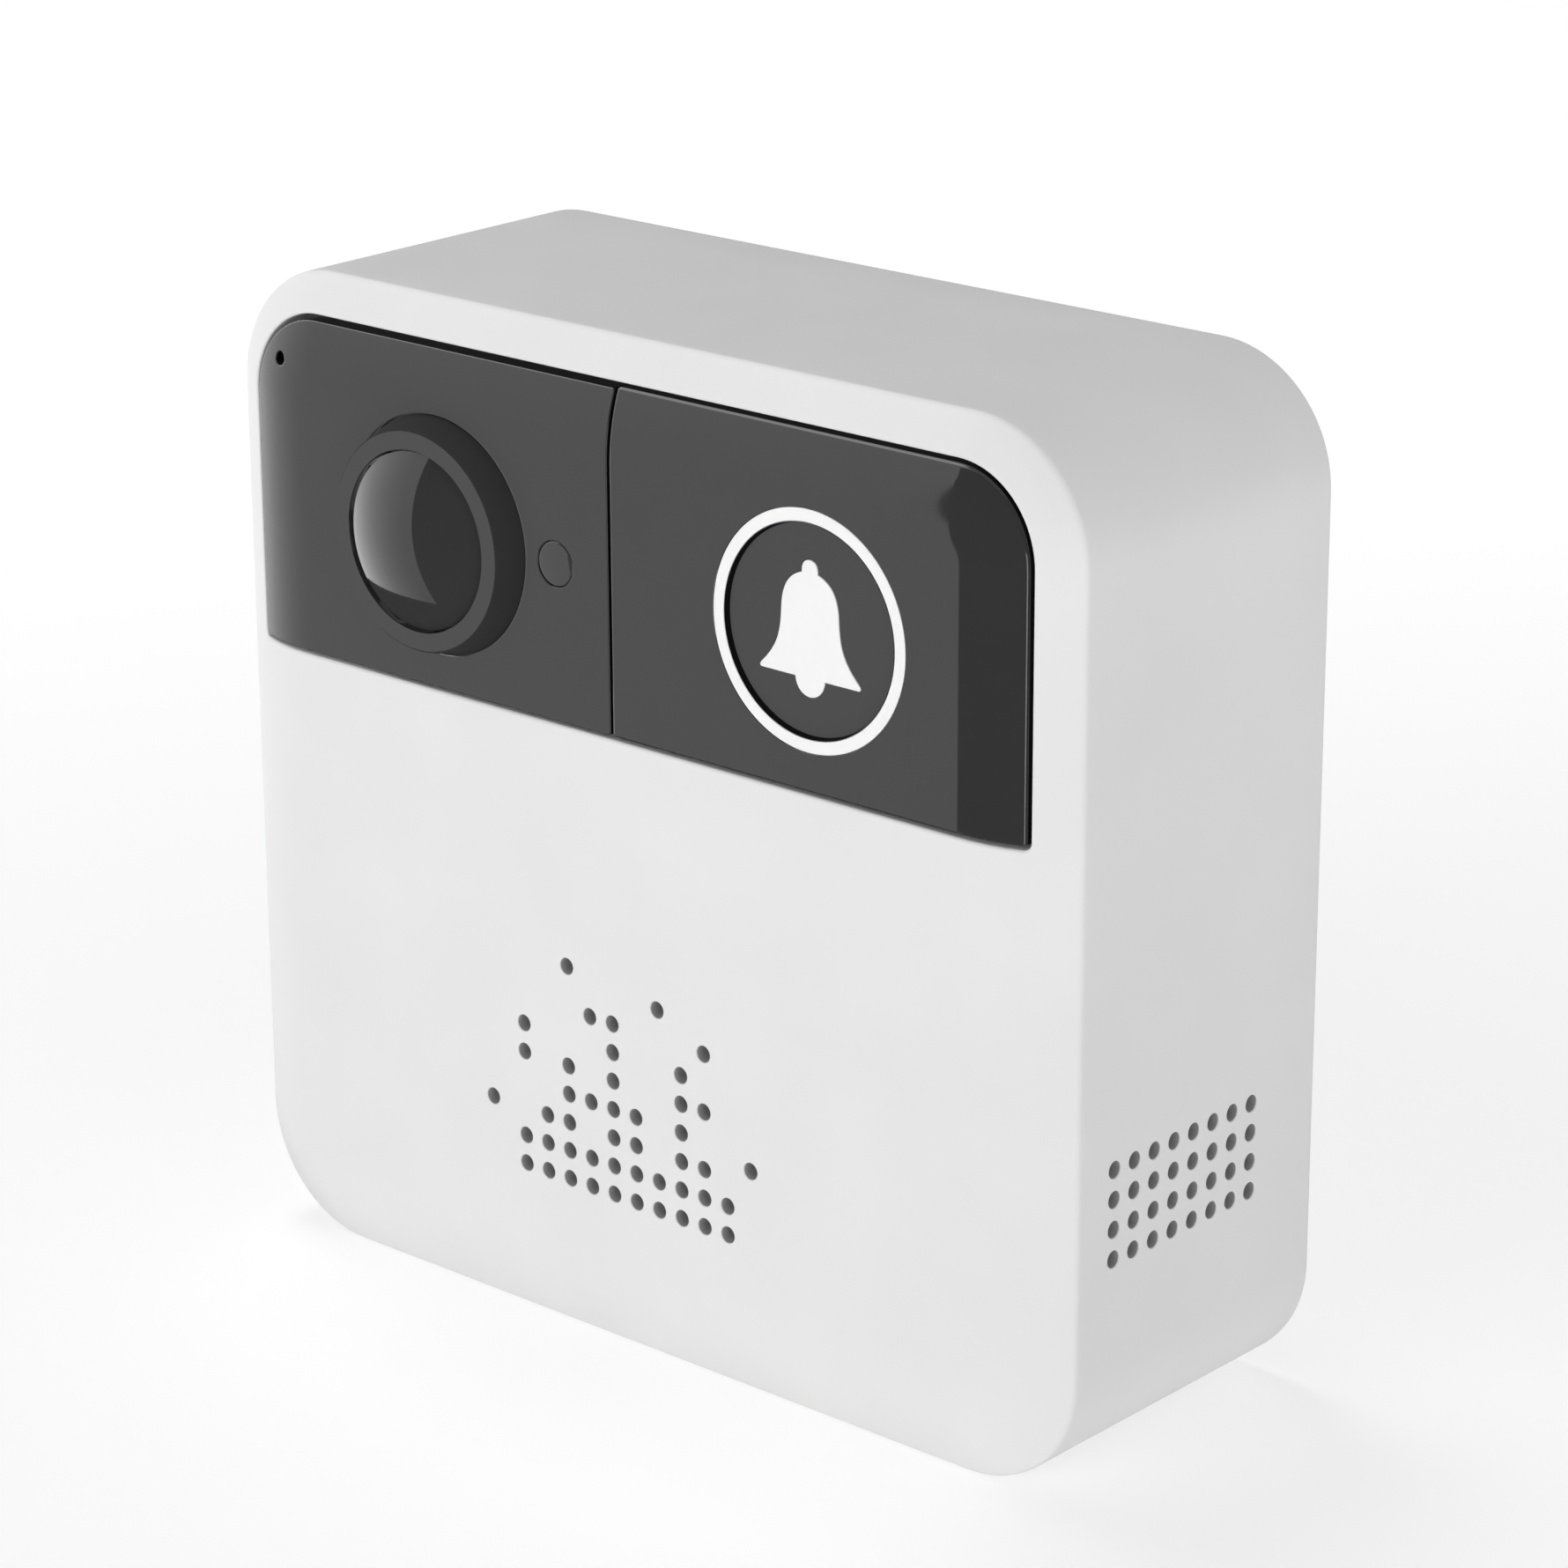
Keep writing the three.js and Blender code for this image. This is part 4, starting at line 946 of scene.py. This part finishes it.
def bell_inlay():
    skin = Skin()
    front, back = DISH_DEPTH - 0.06, PLATE_THICKNESS + 0.6
    flange_radius, flange_front, flange_back = 6.4, back - 0.3, back + 0.5
    flange = [(0, flange_front), (flange_radius, flange_front)]
    flange += [(flange_radius, flange_back), (0, flange_back)]
    plate(skin, bell_loop, flat(front), flat(back), 0.05)
    skin.lathe(soften(flange, 0.15), BELL_X, BELL_Z)
    skin.build("bell_inlay", "button", [MILKY], ["bell_icon"])


def light_ring():
    skin = Skin()
    face_back, flange_front, flange_back = 2.4, 2.1, 2.9
    inner, outer = 7, RING_OUTER + 0.9
    face = [(RING_INNER, 0), (RING_OUTER, 0), (RING_OUTER, face_back), (RING_INNER, face_back)]
    flange = [(inner, flange_front), (outer, flange_front), (outer, flange_back), (inner, flange_back)]
    skin.lathe(soften(face, 0.05), BELL_X, BELL_Z, 128)
    skin.lathe(soften(flange, 0.15), BELL_X, BELL_Z, 128)
    skin.build("light_ring", "button", [MILKY], ["ring_light_guide"])


button_dish()
bell_inlay()
light_ring()


# ---------------------------------------------------------------- camera
def bezel():
    """The lens bezel: a glossy face and bore, and a satin side that widens towards the panel."""
    skin = Skin()
    foot_bore, face_radius, side_front, foot = 8.4, 9.1, BEZEL_FACE + 0.15, 0.3
    face = [(foot_bore, BEZEL_BACK), (BEZEL_BORE, BEZEL_BACK), (BEZEL_BORE, BEZEL_FACE + 0.5)]
    face += [(BEZEL_BORE + 0.1, BEZEL_FACE), (face_radius, BEZEL_FACE)]
    side = [(face_radius, BEZEL_FACE), (face_radius + 0.15, side_front), (BEZEL_RADIUS, foot)]
    side += [(foot_bore, foot), (foot_bore, BEZEL_BACK)]
    skin.sweep(face, LENS_X, LENS_Z, 128)
    skin.sweep(side, LENS_X, LENS_Z, 128, slot=1)
    skin.build("camera_bezel", "case", [WINDOW_GLOSS, BEZEL_SIDE], ["lens_bezel"])


def cap(radius, curvature, apex, steps=24):
    """A ball's cap as (r, y), from its apex to a radius."""
    radii = [radius * i / steps for i in range(steps + 1)]
    return [(r, apex + curvature - math.sqrt(curvature**2 - r**2)) for r in radii]


def dome():
    skin = Skin()
    profile = cap(DOME_RADIUS, DOME_CURVATURE, DOME_APEX)
    profile += [(DOME_RADIUS, DOME_FOOT), (DOME_INNER_RADIUS, DOME_FOOT)]
    profile += reversed(cap(DOME_INNER_RADIUS, DOME_INNER_CURVATURE, DOME_APEX + DOME_THICKNESS))
    skin.lathe(profile, LENS_X, LENS_Z, 128)
    skin.build("camera_dome", "case", [LENS_GLOSS], ["lens_dome"])


def sensor_window():
    skin = Skin()
    radius, front, back = 1.85, 0.1, 1.6
    profile = [(0, front), (radius, front), (radius, back), (0, back)]
    skin.lathe(soften(profile, 0.12), SENSOR_X, SENSOR_Z, 64)
    skin.build("sensor_window", "case", [SENSOR_GLOSS], ["light_sensor_window"])


bezel()
dome()
sensor_window()


# ---------------------------------------------------------------- pieces refined from the CAD
def refined(node, round_by):
    """A CAD node with its flat faces joined, its hard edges rounded and its round faces smooth."""
    source = frame["nodes"][node]
    work = bmesh.new()
    work.from_mesh(source.data)
    bmesh.ops.remove_doubles(work, verts=work.verts, dist=1e-6)
    bmesh.ops.dissolve_limit(work, angle_limit=math.radians(0.5), verts=work.verts, edges=work.edges)
    if round_by:
        hard = [e for e in work.edges if len(e.link_faces) == 2 and e.calc_face_angle(0) > math.radians(40)]
        settings = {"segments": 3, "profile": 0.5, "affect": "EDGES", "clamp_overlap": True}
        bmesh.ops.bevel(work, geom=hard, offset=round_by * MM, **settings)
    bmesh.ops.triangulate(work, faces=[f for f in work.faces if len(f.verts) > 4])
    name = f"{node}_piece"
    mesh = bpy.data.meshes.new(name)
    work.to_mesh(mesh)
    work.free()
    slot = SLOTS[node]
    finish_piece(mesh, name, source["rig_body"], [SLOT_MATERIALS[slot]], [node])


REFINED = {  # how far the hard edges of each node are rounded, in millimetres
    "rear_cover": 0.25,
    "battery_door": 0.3,
    "wall_bracket": 0.3,
    "reset_button": 0.25,
    "micro_usb_socket": 0.12,
    "battery_tray": 0.2,
    "rear_gasket": 0.1,
    "rear_screw_1": 0.1,
    "rear_screw_2": 0.1,
    "rear_screw_3": 0.1,
    "rear_screw_4": 0.1,
    "contact_coil_lower": 0,
    "contact_coil_upper": 0,
    "contact_plate_lower": 0.12,
    "contact_plate_upper": 0.12,
    "battery_lead": 0,
    "speaker_lead": 0,
    "panel_frame": 0.15,
    "main_board": 0.08,
    "wifi_module": 0.15,
    "lens_barrel": 0.1,
    "side_speaker": 0.2,
}
for node, round_by in REFINED.items():
    refined(node, round_by)


def battery_cell(node, toward):
    """An 18650 cell along X in its sleeve, with an insulating ring and a steel cap at one end.

    toward is the direction of X in which the cap points.
    """
    (x0, x1), (y0, y1), (z0, z1) = (span(node, axis) for axis in range(3))
    foot = x0 if toward > 0 else x1
    cap_height = 1
    radius, length = (z1 - z0) / 2, x1 - x0 - cap_height
    sleeve_part = [(8.1, 0.12), (8.2, 0), (8.6, 0), (radius - 0.15, 0.2), (radius, 0.7)]
    sleeve_part += [(radius, length - 0.7), (radius - 0.15, length - 0.2)]
    sleeve_part += [(8.6, length), (7.5, length), (7.4, length - 0.12)]
    ring_part = [(7.4, length - 0.12), (4.1, length - 0.12), (4.0, length - 0.3)]
    cap_part = [(4.0, length - 0.3), (3.2, length - 0.3), (3.2, length + 0.7)]
    cap_part += [(2.9, length + cap_height), (0, length + cap_height)]
    base_part = [(0, 0.12), (8.1, 0.12)]
    skin = Skin()
    angles = [2 * math.pi * i / 72 for i in range(72)]
    for part, slot in ((base_part, 2), (sleeve_part, 0), (ring_part, 1), (cap_part, 2)):
        rings = []
        for r, along in part:
            ring = [(r * math.cos(a), r * math.sin(a)) for a in angles]
            rings.append([(foot + toward * along, (y0 + y1) / 2 + u, (z0 + z1) / 2 + v) for u, v in ring])
        skin.strip(rings, slot)
    skin.build(f"{node}_piece", "case", [SLEEVE, WHITE, TURNED_STEEL], [node])


battery_cell("battery_cell_lower", 1)
battery_cell("battery_cell_upper", -1)


# ---------------------------------------------------------------- studio
# The studio's lengths are metres.
FLOOR_REACH = 3.0
SCREEN_STEPS = 48
SCREEN_TOP = 4.0
SCREEN_DISTANCE = 1.6
BACKDROP_DISTANCE = 2.9
SCREEN_EDGE = 36.6  # degrees to the left of straight ahead, where the bright screen ends
WORLD_LIGHT = 0.48
# Painted shade: the floor's glow is turned down close to the doorbell.
FLOOR_PAINTED_SHADE_GLOW = 0.36  # close to the doorbell
FLOOR_FAR_GLOW = 0.48
FLOOR_COLOUR = 0.84
SCREEN_LIGHT = 0.93
SCREEN_DARK = 0.05
STRIP_LIGHT = 4.0
LIGHT_AIM = Vector((0, 0, 0.05))


def emission(name, level):
    """A black surface that glows evenly."""
    material = bpy.data.materials.new(name)
    material.use_nodes = True
    shader = material.node_tree.nodes["Principled BSDF"]
    shader.inputs["Base Color"].default_value = (0, 0, 0, 1)
    shader.inputs["Specular IOR Level"].default_value = 0
    shader.inputs["Emission Color"].default_value = (1, 1, 1, 1)
    shader.inputs["Emission Strength"].default_value = level
    return material


def staged(name, points, faces, material):
    mesh = bpy.data.meshes.new(name)
    mesh.from_pydata(points, [], faces)
    mesh.materials.append(material)
    made = bpy.data.objects.new(name, mesh)
    bpy.context.scene.collection.objects.link(made)
    return made


def remap(tree, limits):
    """A node that stretches one span of values onto another; limits are the two spans' ends."""
    made = tree.nodes.new("ShaderNodeMapRange")
    for socket, value in zip(("From Min", "From Max", "To Min", "To Max"), limits):
        made.inputs[socket].default_value = value
    return made


def grade(made):
    """Makes a screen brighter towards its top and towards its far left."""
    tree = made.data.materials[0].node_tree
    shader = tree.nodes["Principled BSDF"]
    level = shader.inputs["Emission Strength"].default_value
    split = tree.nodes.new("ShaderNodeSeparateXYZ")
    tree.links.new(tree.nodes.new("ShaderNodeTexCoord").outputs["Object"], split.inputs["Vector"])
    product = tree.nodes.new("ShaderNodeMath")
    product.operation = "MULTIPLY"
    spans = {"Z": (-1.2, 1.0, 0.85 * level, 1.45 * level), "Y": (-1.15, -0.1, 0.97, 1.75)}
    for i, (axis, limits) in enumerate(spans.items()):
        spread = remap(tree, limits)
        tree.links.new(split.outputs[axis], spread.inputs["Value"])
        tree.links.new(spread.outputs["Result"], product.inputs[i])
    tree.links.new(product.outputs["Value"], shader.inputs["Emission Strength"])


def floor():
    """A wide floor that glows a little, less so close to the doorbell, where the weaker glow is painted
    shade round its foot.
    """
    material = emission("Studio floor", FLOOR_PAINTED_SHADE_GLOW)
    tree = material.node_tree
    shader = tree.nodes["Principled BSDF"]
    shader.inputs["Base Color"].default_value = (FLOOR_COLOUR, FLOOR_COLOUR, FLOOR_COLOUR, 1)
    shader.inputs["Roughness"].default_value = 0.9
    # Painted shade: the glow falls from the far value to the near one as the floor comes close to the
    # doorbell.
    away = tree.nodes.new("ShaderNodeVectorMath")
    away.operation = "LENGTH"
    spread = remap(tree, (0.08, 0.3, FLOOR_PAINTED_SHADE_GLOW, FLOOR_FAR_GLOW))
    place = tree.nodes.new("ShaderNodeTexCoord")
    tree.links.new(place.outputs["Object"], away.inputs[0])
    tree.links.new(away.outputs["Value"], spread.inputs["Value"])
    tree.links.new(spread.outputs["Result"], shader.inputs["Emission Strength"])
    corners = [(x * FLOOR_REACH, y * FLOOR_REACH, 0) for x, y in ((-1, -1), (1, -1), (1, 1), (-1, 1))]
    made = staged("studio_floor", corners, [(0, 1, 2, 3)], material)
    made.visible_glossy = False


def screen(name, start, end, feet, high, level, distance=SCREEN_DISTANCE):
    """An upright curved screen that only reflections see.

    Angles are measured from -Y to the right; feet are the heights of its lower edge at both ends.
    """
    points = []
    for i in range(SCREEN_STEPS + 1):
        angle = math.radians(start + (end - start) * i / SCREEN_STEPS)
        x, y = distance * math.sin(angle), -distance * math.cos(angle)
        foot = feet[0] + (feet[1] - feet[0]) * i / SCREEN_STEPS
        points += [(x, y, foot), (x, y, high)]
    faces = [(2 * i, 2 * i + 2, 2 * i + 3, 2 * i + 1) for i in range(SCREEN_STEPS)]
    made = staged(name, points, faces, emission(name, level))
    made.visible_camera = False
    made.visible_diffuse = False
    made.visible_transmission = False
    made.visible_shadow = False
    return made


def softbox(name, place, size, power):
    """A round area light, aimed at the middle of the doorbell; its power is in watts."""
    light = bpy.data.lights.new(name, "AREA")
    light.shape = "DISK"
    light.size = size
    light.energy = power
    made = bpy.data.objects.new(name, light)
    made.location = place
    made.rotation_euler = (LIGHT_AIM - Vector(place)).to_track_quat("-Z", "Y").to_euler()
    made.visible_camera = False
    made.visible_glossy = False
    bpy.context.scene.collection.objects.link(made)


floor()
grade(screen("bright_screen", -SCREEN_EDGE, -125, (-1.36, -0.42), 3.2, SCREEN_LIGHT))
screen("dark_screen", -140, 110, (-SCREEN_TOP, -SCREEN_TOP), SCREEN_TOP, SCREEN_DARK, SCREEN_DISTANCE + 0.2)
backdrop = screen("backdrop", -180, 180, (0, 0), SCREEN_TOP, 1.0, BACKDROP_DISTANCE)
backdrop.visible_camera = True
backdrop.visible_glossy = False
screen("upper_strip", -48, -80, (1.25, 1.25), 2.4, STRIP_LIGHT, SCREEN_DISTANCE - 0.2)
screen("right_strip", 35, 60, (-1.4, -1.4), 0.1, STRIP_LIGHT)
softbox("front_light", (-0.05, -1.2, 0.12), 0.8, 6.0)
softbox("side_light", (1.4, -0.3, 0.2), 0.8, 2.4)
softbox("top_light", (-0.4, 0.1, 1.4), 0.5, 3.0)

world = bpy.data.worlds.new("Studio air")
world.use_nodes = True
background = world.node_tree.nodes["Background"]
background.inputs["Color"].default_value = (1, 1, 1, 1)
background.inputs["Strength"].default_value = WORLD_LIGHT
bpy.context.scene.world = world
bpy.context.scene.view_settings.view_transform = "Standard"

# ---------------------------------------------------------------- camera
AIM = Vector((1.128, 19.026 + FRONT_Y, 45.866)) * MM
AZIMUTH = math.radians(41.574)
ELEVATION = math.radians(18.974)
CAMERA_ROLL = math.radians(-0.270)
DISTANCE = 420.94 * MM
SENSOR_WIDTH = 36
FOCAL_LENGTH = 117.21

sight = Vector((
    math.sin(AZIMUTH) * math.cos(ELEVATION),
    -math.cos(AZIMUTH) * math.cos(ELEVATION),
    math.sin(ELEVATION),
))
lens = bpy.data.cameras.new("Photo camera")
lens.sensor_width = SENSOR_WIDTH
lens.lens = FOCAL_LENGTH
lens.clip_start = 0.01
viewer = bpy.data.objects.new("Photo camera", lens)
viewer.location = AIM + sight * DISTANCE
viewer.rotation_mode = "QUATERNION"
viewer.rotation_quaternion = (-sight).to_track_quat("-Z", "Y") @ Quaternion((0, 0, 1), CAMERA_ROLL)
bpy.context.scene.collection.objects.link(viewer)
bpy.context.scene.camera = viewer
